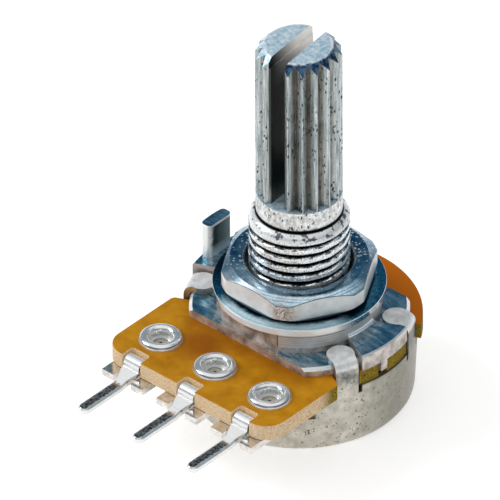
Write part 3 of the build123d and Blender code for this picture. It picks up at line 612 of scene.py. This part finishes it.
def shaft_finish():
    """Drawn aluminium: streaks and pits along the knurl, painted reflections on the end face and tip
    chamfer, a painted highlight round the tip, and darker valleys.
    """
    finish = Finish("drawn_aluminium")
    streaks = finish.streaks(0.11 * MM, 2.4 * MM, contrast=3.2)
    base = finish.mix(streaks, (0.22, 0.27, 0.28), (0.72, 0.77, 0.78))
    grit = finish.clouds(0.10 * MM, detail=4.0, contrast=6.0)
    base = finish.mix(finish.times(grit, 0.20), base, (0.12, 0.13, 0.12))
    # Darker and browner in the knurl's valleys
    valley = finish.remap(finish.radius(), KNURL_CREST - 0.15 * MM, KNURL_VALLEY + 0.09 * MM)
    valley_dark = finish.mix(finish.clouds(0.9 * MM, contrast=3.0), (0.05, 0.05, 0.04), (0.22, 0.19, 0.15))
    sides = finish.mix(finish.times(valley, 0.8), base, valley_dark)
    band = finish.mix(finish.clouds(0.3 * MM, contrast=3.0), (0.40, 0.41, 0.40), (0.88, 0.90, 0.90))
    on_band = finish.remap(finish.height(), KNURL_FOOT + 0.02 * MM, KNURL_FOOT - 0.02 * MM)
    sides = finish.mix(on_band, sides, band)
    sides = finish.mix(finish.pits(0.22 * MM, 0.85, patch=0.9 * MM, stretch=2.2), sides, (0.03, 0.04, 0.035))
    # Painted shade: the neck just above the bushing, in the gap under the band, is painted near black
    below = finish.remap(finish.height(), BUSHING_TOP + 0.30 * MM, BUSHING_TOP + 0.20 * MM)
    sides = finish.mix(below, sides, (0.01, 0.01, 0.01))
    # Painted reflection: the end face is painted pale mottled blue and the tip's chamfer dark navy, pale on
    # its left side
    mottle = finish.clouds(0.3 * MM, detail=4.0, contrast=3.4)
    ends = finish.mix(mottle, (0.34, 0.56, 0.74), (0.82, 0.95, 1.0))
    up = finish.upward()
    on_end = finish.remap(up, 0.85, 0.95)
    near_tip = finish.remap(finish.height(), SHAFT_TIP - 1.1 * TIP_CHAMFER, SHAFT_TIP - TIP_CHAMFER)
    on_slope = finish.times(finish.between(up, 0.3, 0.85, 0.08), near_tip)
    slope = finish.mix(finish.clouds(0.4 * MM, contrast=5.0), (0.004, 0.025, 0.08), (0.10, 0.20, 0.32))
    slope = finish.mix(finish.towards(*LEFT_SIDE, 0.55, 0.9), slope, ends)
    colour = finish.mix(on_end, finish.mix(on_slope, sides, slope), ends)
    # Painted highlight: a broken near-white ring round the edge of the end face
    tip_edge_highlight = finish.between(finish.radius(), TIP_RADIUS - 0.13 * MM, TIP_RADIUS + 0.07 * MM, 0.03 * MM)
    tip_edge_highlight = finish.times(tip_edge_highlight, finish.remap(finish.height(), SHAFT_TIP - 0.15 * MM, SHAFT_TIP))
    bright = finish.times(tip_edge_highlight, finish.clouds(0.3 * MM, contrast=5.0))
    colour = finish.mix(bright, colour, (0.97, 0.98, 1.0))
    in_slot, lit_wall = slot_wall(finish)
    in_shadow = finish.remap(finish.height(), KNURL_FOOT + 0.1 * MM, KNURL_FOOT + 1.6 * MM)
    in_shadow = finish.times(in_slot, in_shadow)
    colour = finish.mix(in_shadow, colour, (0.05, 0.06, 0.055))
    # Where reflection or light is painted, the metal is made nearly non-metallic so that the painted colour
    # shows
    painted_light_areas = finish.math("MAXIMUM", on_end, lit_wall)
    finish.set(
        colour=finish.mix(lit_wall, colour, (1.0, 0.98, 0.94)),
        roughness=finish.remap(finish.clouds(0.2 * MM), 0.0, 1.0, 0.26, 0.48),
        metallic=finish.remap(painted_light_areas, 0.0, 1.0, 0.92, 0.15),
    )
    finish.bump(streaks, 0.006 * MM)
    return finish.material


def slot_wall(finish):
    """The slot's walls, and the part of them near the tip and towards the back that is painted pale as if
    lit.
    """
    sawn_across = (cos(SLOT_TURN), sin(SLOT_TURN), 0)
    sawn_along = (-sin(SLOT_TURN), cos(SLOT_TURN), 0)
    across = finish.node("ShaderNodeVectorMath", {0: finish.place, 1: sawn_across}, operation="DOT_PRODUCT")
    along = finish.node("ShaderNodeVectorMath", {0: finish.place, 1: sawn_along}, operation="DOT_PRODUCT")
    aside = finish.math("ABSOLUTE", across.outputs["Value"])
    inside = finish.remap(aside, SLOT_MOUTH_WIDTH / 2 + 0.03 * MM, SLOT_MOUTH_WIDTH / 2 + 0.01 * MM)
    # Painted light: the walls are painted pale towards the back and near the tip
    behind = finish.remap(along.outputs["Value"], -2.2 * MM, 0.6 * MM)
    high = finish.remap(finish.height(), SHAFT_TIP - 2.8 * MM, SHAFT_TIP - 0.8 * MM)
    slot_lit_part = finish.times(behind, high)
    return inside, finish.times(inside, slot_lit_part)


def laminate_finish():
    """Amber faces with a satin skin, painted shade on the strip before the casting, and pale fibrous punched
    edges.
    """
    finish = Finish("phenolic_laminate")
    finish.shader.inputs["Specular IOR Level"].default_value = 0.08
    face_cloud = finish.clouds(1.4 * MM, contrast=1.8)
    face = finish.mix(face_cloud, (0.46, 0.18, 0.001), (0.76, 0.35, 0.014))
    # Painted shade: the face is darkened on a strip before the casting, as the shade beside it
    casting_shade = finish.remap(finish.along_y(), PLATE_FRONT - 1.55 * MM, PLATE_FRONT - 0.35 * MM)
    casting_shade = finish.times(casting_shade, finish.between(finish.along_x(), *SHADED_STRIP, 0.5 * MM))
    patch = finish.near(DARK_PATCH, DARK_PATCH_REACH)
    dark = finish.math("MAXIMUM", finish.times(casting_shade, 0.6), finish.times(patch, 0.8))
    face = finish.mix(dark, face, (0.32, 0.08, 0.001))
    behind = finish.remap(finish.along_y(), CAN_CUTOUT + 0.6 * MM, CAN_CUTOUT + 1.2 * MM)
    face = finish.mix(behind, face, (0.62, 0.16, 0.001))
    fibre = finish.clouds(0.12 * MM, contrast=3.2)
    front_edge = finish.mix(fibre, (0.88, 0.50, 0.18), (1.0, 0.90, 0.70))
    side_edge = finish.mix(fibre, (0.16, 0.09, 0.004), (0.46, 0.34, 0.05))
    beside_can = finish.remap(finish.along_y(), CAN_CUTOUT - 1.3 * MM, CAN_CUTOUT)
    edge = finish.mix(beside_can, front_edge, side_edge)
    flecks = finish.pits(0.14 * MM, 0.5)
    edge = finish.mix(flecks, edge, (0.30, 0.14, 0.03))
    on_face = finish.remap(finish.math("ABSOLUTE", finish.upward()), 0.75, 0.95)
    finish.set(
        colour=finish.mix(on_face, edge, face),
        roughness=finish.remap(on_face, 0.0, 1.0, 0.75, 0.48),
    )
    skin = finish.times(finish.clouds(0.10 * MM), 0.15)
    ragged = finish.times(fibre, finish.math("SUBTRACT", 1.0, on_face))
    finish.bump(finish.math("ADD", skin, ragged), 0.012 * MM)
    return finish.material


def tin_finish(name, pale, deep, gloss):
    """Bright plating over sheet metal, a little uneven."""
    finish = Finish(name, metallic=1.0)
    clouded = finish.clouds(0.5 * MM, contrast=2.0)
    dents = finish.clouds(0.16 * MM, contrast=2.0)
    finish.set(
        colour=finish.mix(clouded, deep, pale),
        roughness=finish.remap(dents, 0.0, 1.0, gloss, gloss + 0.12),
    )
    finish.bump(dents, 0.0015 * MM)
    return finish.material


def terminal_finish():
    """Bright tin, painted dark and streaky on top of the pins as a reflection of the dark ceiling, with bare
    brass at their shoulders.
    """
    finish = Finish("tinned_terminal")
    clouded = finish.clouds(0.5 * MM, contrast=2.0)
    tinned = finish.mix(clouded, (0.90, 0.90, 0.89), (1.0, 1.0, 1.0))
    # A warm brass tone on the low parts behind the tongues, which is also a painted reflection of the amber
    # board
    brass_and_board_reflection = finish.mix(clouded, (0.54, 0.49, 0.44), (0.96, 0.94, 0.91))
    low = finish.remap(finish.height(), SHEET_TOP + 0.06 * MM, SHEET_TOP + 0.01 * MM)
    under_board = finish.remap(finish.along_y(), TONGUE_FRONT - 0.03 * MM, TONGUE_FRONT + 0.03 * MM)
    low = finish.times(low, under_board)
    tinned = finish.mix(low, tinned, brass_and_board_reflection)
    # Painted shade: ragged near-black dots down the right side of each tongue
    nicks = finish.clouds(0.22 * MM, contrast=7.0)
    tongue_side_shade = finish.times(finish.remap(finish.sideways(), 0.6, 0.8), nicks)
    above_sheet = finish.remap(finish.height(), SHEET_TOP + 0.02 * MM, SHEET_TOP + 0.10 * MM)
    tongue_side_shade = finish.times(tongue_side_shade, above_sheet)
    on_tongue = finish.remap(finish.along_y(), TONGUE_FRONT - 0.15 * MM, TONGUE_FRONT + 0.15 * MM)
    tongue_side_shade = finish.times(tongue_side_shade, on_tongue)
    tinned = finish.mix(tongue_side_shade, tinned, (0.03, 0.03, 0.03))
    # Painted reflection: the pin tops are painted dark and streaky, as the dark ceiling mirrored there
    streaks = finish.clouds(0.18 * MM, contrast=4.0)
    worn = finish.mix(streaks, (0.03, 0.03, 0.03), (0.34, 0.33, 0.31))
    aside = finish.math("ABSOLUTE", finish.from_terminal())
    ragged_side = finish.math("ADD", aside, finish.times(streaks, 0.1 * MM))
    inner = finish.remap(ragged_side, PIN_HALF_WIDTH - 0.09 * MM, PIN_HALF_WIDTH - 0.17 * MM)
    on_top = finish.times(finish.remap(finish.upward(), 0.75, 0.9), inner)
    ragged_end = finish.math("ADD", finish.along_y(), finish.times(streaks, 0.25 * MM))
    on_pin = finish.remap(ragged_end, PIN_SHOULDER + 0.25 * MM, PIN_SHOULDER + 0.05 * MM)
    shoulder = finish.remap(ragged_end, PIN_SHOULDER - 0.25 * MM, PIN_SHOULDER - 0.10 * MM)
    bare = finish.times(on_pin, shoulder)
    colour = finish.mix(finish.times(on_top, on_pin), tinned, worn)
    colour = finish.mix(finish.times(on_top, bare), colour, (0.52, 0.36, 0.24))
    mirroring = finish.math("MAXIMUM", finish.times(on_pin, 0.3), low)
    finish.set(
        colour=colour,
        roughness=finish.remap(clouded, 0.0, 1.0, 0.10, 0.24),
        metallic=finish.remap(mirroring, 0.0, 1.0, 0.45, 0.85),
    )
    return finish.material


def rivet_finish():
    """Bright tin, with the drab floor of the bore and the mark of the setting punch on it."""
    finish = Finish("tinned_rivet")
    clouded = finish.clouds(0.6 * MM, contrast=1.6)
    tinned = finish.mix(clouded, (0.74, 0.74, 0.73), (0.94, 0.94, 0.93))
    out = finish.from_rivet()
    drab = finish.mix(finish.clouds(0.12 * MM, contrast=3.0), (0.34, 0.31, 0.23), (0.60, 0.56, 0.46))
    punched = finish.remap(out, PUNCH_MARK_RADIUS, PUNCH_MARK_RADIUS / 2)
    drab = finish.mix(punched, drab, (0.02, 0.02, 0.02))
    around_floor = finish.remap(out, RIVET_FLOOR_RADIUS, RIVET_FLOOR_RADIUS + 0.04 * MM)
    drab = finish.mix(around_floor, drab, (0.92, 0.92, 0.90))
    ridge = finish.between(out, RIVET_FLOOR_RADIUS, RIVET_FLOOR_RADIUS + 0.05 * MM, 0.03 * MM)
    drab = finish.mix(ridge, drab, (0.04, 0.04, 0.04))
    on_floor = finish.remap(finish.height(), RIVET_FLOOR + 0.08 * MM, RIVET_FLOOR + 0.02 * MM)
    outer_rim = finish.between(out, RIVET_ROLL_RADIUS - 0.11 * MM, RIVET_ROLL_RADIUS - 0.05 * MM, 0.03 * MM)
    tinned = finish.mix(finish.times(outer_rim, 0.7), tinned, (0.08, 0.08, 0.08))
    finish.set(
        colour=finish.mix(on_floor, tinned, drab),
        roughness=finish.remap(clouded, 0.0, 1.0, 0.10, 0.20),
        metallic=finish.remap(on_floor, 0.0, 1.0, 0.65, 0.15),
    )
    return finish.material


def print_finish(name, dark, pale, metallic, roughness):
    """Screen-printed ink with a fine grain."""
    finish = Finish(name, metallic=metallic)
    grain = finish.clouds(0.08 * MM, contrast=2.4)
    finish.set(
        colour=finish.mix(grain, dark, pale),
        roughness=finish.remap(grain, 0.0, 1.0, roughness, roughness + 0.15),
    )
    finish.bump(grain, 0.002 * MM)
    return finish.material


def moulding_finish(name, dark, pale, roughness):
    """Moulded plastic with flow marks."""
    finish = Finish(name)
    flow = finish.clouds(1.2 * MM, contrast=1.5)
    grain = finish.clouds(0.1 * MM)
    finish.set(
        colour=finish.mix(flow, dark, pale),
        roughness=finish.remap(grain, 0.0, 1.0, roughness, roughness + 0.12),
    )
    finish.bump(grain, 0.003 * MM)
    return finish.material


FINISHES = {
    "front_plate": cast_plate_finish(),
    "rear_can": can_finish(),
    "element_board": laminate_finish(),
    "carbon_track": print_finish("carbon_ink", (0.015, 0.015, 0.015), (0.05, 0.05, 0.05), 0.0, 0.55),
    "control_shaft": shaft_finish(),
    "thrust_washer": moulding_finish("natural_nylon", (0.74, 0.71, 0.62), (0.84, 0.81, 0.74), 0.35),
    "retaining_ring": print_finish("phosphated_steel", (0.10, 0.10, 0.10), (0.22, 0.21, 0.20), 0.9, 0.45),
    "rotor_disc": moulding_finish("brown_moulding", (0.09, 0.04, 0.018), (0.16, 0.075, 0.035), 0.4),
    "wiper_spring": tin_finish("phosphor_bronze", (0.80, 0.56, 0.34), (0.66, 0.44, 0.25), 0.2),
    "flat_washer": washer_finish(),
    "hex_nut": nut_finish(),
}
silver_ink = print_finish("silver_ink", (0.48, 0.47, 0.44), (0.66, 0.65, 0.61), 0.8, 0.45)
for name in ("collector_ring", "end_pad_left", "end_pad_right"):
    FINISHES[name] = silver_ink
terminal_tin = terminal_finish()
rivet_tin = rivet_finish()
for pin in PINS:
    FINISHES["terminal_" + pin] = terminal_tin
    FINISHES["rivet_" + pin] = rivet_tin


def give(obj, material):
    """One material over the whole object."""
    obj.data.materials.clear()
    obj.data.materials.append(material)


BODIES = {node: body for body, held in frame["record"]["behaviour"]["bodies"].items() for node in held}


def link_mesh(name, mesh):
    obj = bpy.data.objects.new(name, mesh)
    scene.collection.objects.link(obj)
    return obj


def welded(node):
    """A BMesh of a CAD node with its triangles joined and flat faces made whole."""
    bm = bmesh.new()
    bm.from_mesh(nodes[node].data)
    bmesh.ops.remove_doubles(bm, verts=bm.verts, dist=WELD)
    bmesh.ops.dissolve_limit(bm, angle_limit=FLAT_ANGLE, verts=bm.verts, edges=bm.edges)
    return bm


def freeze(obj):
    """Makes an object's modifiers part of its mesh."""
    bpy.context.view_layer.update()
    shaped = bpy.data.meshes.new_from_object(obj.evaluated_get(bpy.context.evaluated_depsgraph_get()))
    obj.modifiers.clear()
    obj.data = shaped


def smooth_faces(bm, crease):
    """Smooth shading, with creases where faces meet at more than an angle."""
    for face in bm.faces:
        face.smooth = True
    for edge in bm.edges:
        edge.smooth = len(edge.link_faces) == 2 and edge.calc_face_angle() < crease


def dress(node, edge=0.0, crease=28.0, change=None):
    """Stands a finished copy of a CAD node in its place, its edges eased by a small bevel."""
    bm = welded(node)
    if change:
        change(bm)
    smooth_faces(bm, radians(crease))
    mesh = bpy.data.meshes.new(node + "_finished")
    bm.to_mesh(mesh)
    bm.free()
    obj = link_mesh(node + "_finished", mesh)
    if edge:
        bevel = obj.modifiers.new("eased_edges", "BEVEL")
        bevel.width = edge
        bevel.segments = 2
        bevel.limit_method = "ANGLE"
        bevel.angle_limit = radians(crease)
        bevel.harden_normals = True
        freeze(obj)
    give(obj, FINISHES[node])
    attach(obj, BODIES[node])
    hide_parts(node)


for name, obj in nodes.items():
    give(obj, FINISHES[name])


def shorten_shank(bm):
    """Sinks the ringed shank into the boss, where the threaded one takes its place."""
    inside_wall = (BORE_RADIUS + LEAD_IN_RADIUS) / 2
    for vert in bm.verts:
        out = vert.co.xy.length
        if vert.co.z > SEAT_LEVEL + WELD and out < BUSHING_RADIUS + WELD:
            vert.co.z = SEAT_LEVEL - OVERLAP
            if out > inside_wall:
                vert.co.xy *= RELIEF_RADIUS / out
    bmesh.ops.remove_doubles(bm, verts=bm.verts, dist=WELD)


def from_bmesh(name, bm):
    mesh = bpy.data.meshes.new(name)
    bm.to_mesh(mesh)
    bm.free()
    return link_mesh(name, mesh)


def turned(ring):
    """A ring's points, each moved on by one."""
    return ring[1:] + ring[:1]


def prism(outline, bottom, top):
    """A closed mesh over an outline, between two heights."""
    bm = bmesh.new()
    rings = [[bm.verts.new((x, y, height)) for x, y in outline] for height in (bottom, top)]
    for low, next_low, high, next_high in zip(rings[0], turned(rings[0]), rings[1], turned(rings[1])):
        bm.faces.new((low, next_low, next_high, high))
    bm.faces.new(reversed(rings[0]))
    bm.faces.new(rings[1])
    return from_bmesh("prism", bm)


def lathe(profile):
    """A closed mesh turned about the shaft's axis from radii and heights, listed upwards."""
    bm = bmesh.new()
    angles = [2 * pi * step / LATHE_STEPS for step in range(LATHE_STEPS)]
    rings = []
    for radius, height in profile:
        rings.append([bm.verts.new((radius * cos(angle), radius * sin(angle), height)) for angle in angles])
    for lower, upper in zip(rings, rings[1:]):
        for low, next_low, high, next_high in zip(lower, turned(lower), upper, turned(upper)):
            bm.faces.new((low, next_low, next_high, high))
    bm.faces.new(reversed(rings[0]))
    bm.faces.new(rings[-1])
    return from_bmesh("lathe", bm)


def slot_box(width, bottom):
    """A box along the slot's line, from a height to above the tip."""
    along = Vector((-sin(SLOT_TURN), cos(SLOT_TURN))) * 2 * SHAFT_RADIUS
    aside = Vector((cos(SLOT_TURN), sin(SLOT_TURN))) * width / 2
    corners = [-along - aside, -along + aside, along + aside, along - aside]
    return prism(corners, bottom, SHAFT_TIP + MM)


def carve(obj, *cuts):
    """Carves a piece with closed meshes, which are used up."""
    for operation, tool in cuts:
        step = obj.modifiers.new("cut", "BOOLEAN")
        step.operation = operation
        step.solver = "EXACT"
        step.object = tool
    freeze(obj)
    for _, tool in cuts:
        bpy.data.objects.remove(tool)


def knurled_head():
    """The shaft above its plain band: sharp teeth all round, a chamfered tip and the slot."""
    outline = []
    for tooth in range(KNURL_TEETH):
        crest_angle = SLOT_TURN + pi / 2 + 2 * pi * tooth / KNURL_TEETH
        valley_angle = crest_angle + pi / KNURL_TEETH
        outline.append(Vector((cos(crest_angle), sin(crest_angle))) * KNURL_CREST)
        outline.append(Vector((cos(valley_angle), sin(valley_angle))) * KNURL_VALLEY)
    foot = KNURL_FOOT - OVERLAP
    head = prism(outline, foot, SHAFT_TIP)
    profile = (
        (SHAFT_RADIUS, foot - MM),
        (SHAFT_RADIUS, SHAFT_TIP - TIP_CHAMFER),
        (TIP_RADIUS, SHAFT_TIP),
        (TIP_RADIUS, SHAFT_TIP + MM),
    )
    carve(
        head,
        ("INTERSECT", lathe(profile)),
        ("DIFFERENCE", slot_box(SLOT_WIDTH, foot - MM)),
        ("DIFFERENCE", slot_box(SLOT_MOUTH_WIDTH, SHAFT_TIP - SLOT_MOUTH_DEPTH)),
    )
    return head


def shaft_up_to_band(bm):
    """Keeps the shaft below its knurl, closed at the top of the plain band."""
    cut = KNURL_FOOT - OVERLAP
    everything = bm.verts[:] + bm.edges[:] + bm.faces[:]
    bmesh.ops.bisect_plane(bm, geom=everything, plane_co=(0, 0, cut), plane_no=(0, 0, 1), clear_outer=True)
    rim = [edge for edge in bm.edges if edge.is_boundary]
    bmesh.ops.contextual_create(bm, geom=rim)
    for vert in bm.verts:
        if vert.co.z > cut - WELD:
            vert.co.z = KNURL_FOOT


def finished_shaft():
    """The turned shaft with its knurled head, joined in one mesh."""
    head = knurled_head()

    def add_head(bm):
        shaft_up_to_band(bm)
        bm.from_mesh(head.data)

    dress("control_shaft", edge=0.02 * MM, change=add_head)
    bpy.data.objects.remove(head)


dress("front_plate", edge=0.04 * MM, crease=20.0, change=shorten_shank)
dress("rear_can", edge=0.03 * MM)
dress("element_board", edge=0.06 * MM)
finished_shaft()
dress("flat_washer", edge=0.05 * MM)
dress("hex_nut", edge=0.05 * MM)
for pin in PINS:
    dress("terminal_" + pin, edge=0.04 * MM)
    dress("rivet_" + pin, crease=50.0)


def thread_tree():
    """Geometry nodes for a threaded sleeve, rolled up from a grid."""
    tree = bpy.data.node_groups.new("threaded_sleeve", "GeometryNodeTree")
    sizes = {
        "Crest Radius": BUSHING_RADIUS,
        "Depth": THREAD_DEPTH,
        "Pitch": THREAD_PITCH,
        "Bottom": SEAT_LEVEL - THREAD_OVERLAP,
        "Top": BUSHING_TOP,
        "Bore Radius": BORE_RADIUS,
        "Lead-in Radius": LEAD_IN_RADIUS,
        "Lead-in Height": LEAD_IN_HEIGHT,
        "Relief Radius": RELIEF_RADIUS,
        "Relief Height": RELIEF_HEIGHT,
        "Fade": THREAD_FADE,
    }
    for label in sizes:
        tree.interface.new_socket(label, in_out="INPUT", socket_type=FLOAT)
    counts = {"Steps Around": 128, "Rows": 112}
    for label in counts:
        tree.interface.new_socket(label, in_out="INPUT", socket_type="NodeSocketInt")
    tree.interface.new_socket("Finish", in_out="INPUT", socket_type="NodeSocketMaterial")
    tree.interface.new_socket("Geometry", in_out="OUTPUT", socket_type="NodeSocketGeometry")
    graph = Graph(tree)
    size = graph.node("NodeGroupInput").outputs
    sink = graph.node("NodeGroupOutput")
    math = graph.math

    grid_values = {
        "Size X": 1.0,
        "Size Y": 1.0,
        "Vertices X": math("ADD", size["Steps Around"], 1.0),
        "Vertices Y": math("ADD", size["Rows"], 1.0),
    }
    grid = graph.node("GeometryNodeMeshGrid", grid_values).outputs["Mesh"]
    position = graph.node("GeometryNodeInputPosition").outputs[0]
    spot = graph.node("ShaderNodeSeparateXYZ", {0: position}).outputs
    turn = math("ADD", spot["X"], 0.5)
    row = math("MULTIPLY", math("ADD", spot["Y"], 0.5), size["Rows"])

    # The first row and the last two lie on the bore, the rest climb the outside
    climb = math("DIVIDE", math("SUBTRACT", row, 1.0), math("SUBTRACT", size["Rows"], 3.0))
    climb = graph.node("ShaderNodeClamp", {"Value": climb}).outputs[0]
    last = math("GREATER_THAN", row, math("SUBTRACT", size["Rows"], 0.5))
    climb = math("MULTIPLY", climb, math("SUBTRACT", 1.0, last))
    inside = math("LESS_THAN", row, 0.5)
    inside = math("MAXIMUM", inside, math("GREATER_THAN", row, math("SUBTRACT", size["Rows"], 1.5)))
    span = math("SUBTRACT", size["Top"], size["Bottom"])
    level = math("ADD", size["Bottom"], math("MULTIPLY", climb, span))

    # Flanks of the thread from the height within one pitch
    phase = math("FRACT", math("SUBTRACT", math("DIVIDE", level, size["Pitch"]), turn))
    flank = math("ABSOLUTE", math("SUBTRACT", math("MULTIPLY", phase, 2.0), 1.0))
    groove_values = {"Value": flank, "From Min": FLANK_START, "From Max": FLANK_END}
    groove = graph.node("ShaderNodeMapRange", groove_values, interpolation_type="SMOOTHSTEP").outputs[0]
    plain_top = math("SUBTRACT", math("SUBTRACT", size["Top"], size["Lead-in Height"]), level)
    run_out = graph.node("ShaderNodeClamp", {"Value": math("DIVIDE", plain_top, size["Fade"])}).outputs[0]
    depth = math("MULTIPLY", math("MULTIPLY", groove, run_out), size["Depth"])
    threaded = math("SUBTRACT", size["Crest Radius"], depth)

    # The lead-in at the top and the relief at the foot cut the thread off
    below_top = math("SUBTRACT", size["Top"], level)
    rise = math("SUBTRACT", 1.0, math("DIVIDE", below_top, size["Lead-in Height"]))
    rise = math("POWER", math("MAXIMUM", rise, 0.0), LEAD_IN_CURVE)
    drop = math("MULTIPLY", rise, math("SUBTRACT", size["Crest Radius"], size["Lead-in Radius"]))
    lead_in = math("SUBTRACT", size["Crest Radius"], drop)
    above_foot = math("SUBTRACT", math("SUBTRACT", level, size["Bottom"]), size["Relief Height"])
    relief = math("ADD", size["Relief Radius"], math("MAXIMUM", above_foot, 0.0))
    outer = math("MINIMUM", threaded, math("MINIMUM", lead_in, relief))
    difference = math("SUBTRACT", size["Bore Radius"], outer)
    radius = math("ADD", outer, math("MULTIPLY", difference, inside))

    angle = math("MULTIPLY", turn, 2 * pi)
    place_values = {
        "X": math("MULTIPLY", radius, math("COSINE", angle)),
        "Y": math("MULTIPLY", radius, math("SINE", angle)),
        "Z": level,
    }
    place = graph.node("ShaderNodeCombineXYZ", place_values).outputs[0]
    rolled = graph.node("GeometryNodeSetPosition", {"Geometry": grid, "Position": place}).outputs[0]
    closed = graph.node("GeometryNodeMergeByDistance", {"Geometry": rolled, "Distance": WELD}).outputs[0]
    real = graph.node("GeometryNodeRealizeInstances", {"Geometry": closed}).outputs[0]
    finished = graph.node("GeometryNodeSetMaterial", {"Geometry": real, "Material": size["Finish"]})
    tree.links.new(finished.outputs[0], sink.inputs["Geometry"])
    return tree, {**sizes, **counts}


def grow(name, tree, values):
    """Runs a geometry tree on a bare object and keeps the result as a plain mesh."""
    obj = link_mesh(name, bpy.data.meshes.new(name))
    modifier = obj.modifiers.new("shape", "NODES")
    modifier.node_group = tree
    for item in tree.interface.items_tree:
        if item.in_out == "INPUT" and item.name in values:
            modifier[item.identifier] = values[item.name]
    freeze(obj)
    return obj


def outward(obj, crease=40.0):
    """Turns the faces of a closed mesh outwards and sets its creases."""
    bm = bmesh.new()
    bm.from_mesh(obj.data)
    bmesh.ops.recalc_face_normals(bm, faces=bm.faces)
    smooth_faces(bm, radians(crease))
    bm.to_mesh(obj.data)
    bm.free()


def threaded_bushing():
    """The bushing's shank with its helix, attached to the housing body."""
    tree, values = thread_tree()
    values["Finish"] = rolled_thread_finish()
    bushing = grow("threaded_bushing", tree, values)
    outward(bushing)
    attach(bushing, "housing")


threaded_bushing()


def set_camera():
    """The photograph's view: azimuth 0 looks along +Y, and the long lens keeps it near parallel."""
    right = Vector((cos(CAMERA_AZIMUTH), sin(CAMERA_AZIMUTH), 0))
    ahead_flat = Vector((-sin(CAMERA_AZIMUTH), cos(CAMERA_AZIMUTH), 0))
    ahead = ahead_flat * cos(CAMERA_ELEVATION) - Vector((0, 0, sin(CAMERA_ELEVATION)))
    up = right.cross(ahead)
    middle = IMAGE_SIZE / 2
    aim = Vector((0, 0, SEAT_LEVEL))
    aim += right * (middle - SEAT_PIXEL[0]) / PIXELS_PER_METRE
    aim += up * (SEAT_PIXEL[1] - middle) / PIXELS_PER_METRE
    camera_data = bpy.data.cameras.new("camera")
    camera_data.sensor_width = SENSOR
    camera_data.lens = CAMERA_DISTANCE * PIXELS_PER_METRE / IMAGE_SIZE * SENSOR
    camera_data.clip_end = 10 * CAMERA_DISTANCE
    camera = bpy.data.objects.new("camera", camera_data)
    turn = Matrix((right, up, -ahead)).transposed() @ Matrix.Rotation(CAMERA_ROLL, 3, "Z")
    camera.matrix_world = Matrix.Translation(aim - ahead * CAMERA_DISTANCE) @ turn.to_4x4()
    scene.collection.objects.link(camera)
    scene.camera = camera


def seen_rays(graph):
    """Masks for camera rays, and for camera, mirror and transmission rays together."""
    path = graph.node("ShaderNodeLightPath").outputs
    mirrored = graph.math("MAXIMUM", path["Is Glossy Ray"], path["Is Transmission Ray"])
    return path["Is Camera Ray"], graph.math("MAXIMUM", path["Is Camera Ray"], mirrored)


def set_world():
    """White backdrop, soft white light, and a dark blue band of ceiling that metal mirrors."""
    world = bpy.data.worlds.new("studio")
    world.use_nodes = True
    scene.world = world
    world.node_tree.nodes.clear()
    graph = Graph(world.node_tree)
    camera_ray, seen = seen_rays(graph)
    level = graph.node("ShaderNodeSeparateXYZ", {0: graph.node("ShaderNodeTexCoord").outputs["Generated"]})
    band = graph.node("ShaderNodeValToRGB", {"Fac": level.outputs["Z"]})
    ramp = band.color_ramp
    stops = (
        (0.00, (0.95, 0.95, 0.95)),
        (0.12, (0.85, 0.88, 0.90)),
        (0.30, (0.16, 0.26, 0.34)),
        (0.46, (0.035, 0.10, 0.16)),
        (0.66, (0.05, 0.13, 0.19)),
        (0.76, (0.42, 0.52, 0.58)),
        (0.86, (1.00, 1.00, 1.00)),
    )
    while len(ramp.elements) < len(stops):
        ramp.elements.new(0.5)
    for element, (place, colour) in zip(ramp.elements, stops):
        element.position = place
        element.color = (*colour, 1)
    plain = graph.node("ShaderNodeBackground", {"Color": (1, 1, 1, 1), "Strength": WORLD_LIGHT})
    mirrored = graph.node("ShaderNodeBackground", {"Color": band.outputs["Color"], "Strength": 1.0})
    white = graph.node("ShaderNodeBackground", {"Color": (1, 1, 1, 1), "Strength": 1.0})
    lit = graph.node("ShaderNodeMixShader", {0: seen, 1: plain.outputs[0], 2: mirrored.outputs[0]})
    shown = graph.node("ShaderNodeMixShader", {0: camera_ray, 1: lit.outputs[0], 2: white.outputs[0]})
    sink = graph.node("ShaderNodeOutputWorld")
    graph.tree.links.new(shown.outputs[0], sink.inputs["Surface"])


def set_floor():
    """A pale floor that shows white where it is lit and keeps the object's shadow."""
    mesh = bpy.data.meshes.new("floor")
    corners = [(x * FLOOR_REACH, y * FLOOR_REACH, 0) for x, y in ((-1, -1), (1, -1), (1, 1), (-1, 1))]
    mesh.from_pydata(corners, [], [(0, 1, 2, 3)])
    floor = link_mesh("floor", mesh)
    material = bpy.data.materials.new("pale_floor")
    material.use_nodes = True
    material.node_tree.nodes.clear()
    graph = Graph(material.node_tree)
    camera_ray, seen = seen_rays(graph)
    matte = graph.node("ShaderNodeBsdfDiffuse", {"Color": (0.86, 0.86, 0.86, 1)})
    glow_values = {"Color": (1, 1, 1, 1), "Strength": graph.times(seen, FLOOR_GLOW)}
    glow = graph.node("ShaderNodeEmission", glow_values)
    both = graph.node("ShaderNodeAddShader", {0: matte.outputs[0], 1: glow.outputs[0]})
    sink = graph.node("ShaderNodeOutputMaterial")
    graph.tree.links.new(both.outputs[0], sink.inputs["Surface"])
    give(floor, material)


def softbox(name, place, power):
    """A square area lamp that faces the object."""
    lamp = bpy.data.lights.new(name, "AREA")
    lamp.size = LAMP_SIZE
    lamp.energy = power
    obj = bpy.data.objects.new(name, lamp)
    away = Vector(place) - Vector((0, 0, SEAT_LEVEL))
    obj.matrix_world = Matrix.Translation(place) @ away.to_track_quat("Z", "Y").to_matrix().to_4x4()
    scene.collection.objects.link(obj)


set_camera()
set_world()
set_floor()
softbox("key_left", KEY_PLACE, KEY_POWER)
softbox("fill_right", FILL_PLACE, FILL_POWER)
scene.view_settings.view_transform = "Standard"
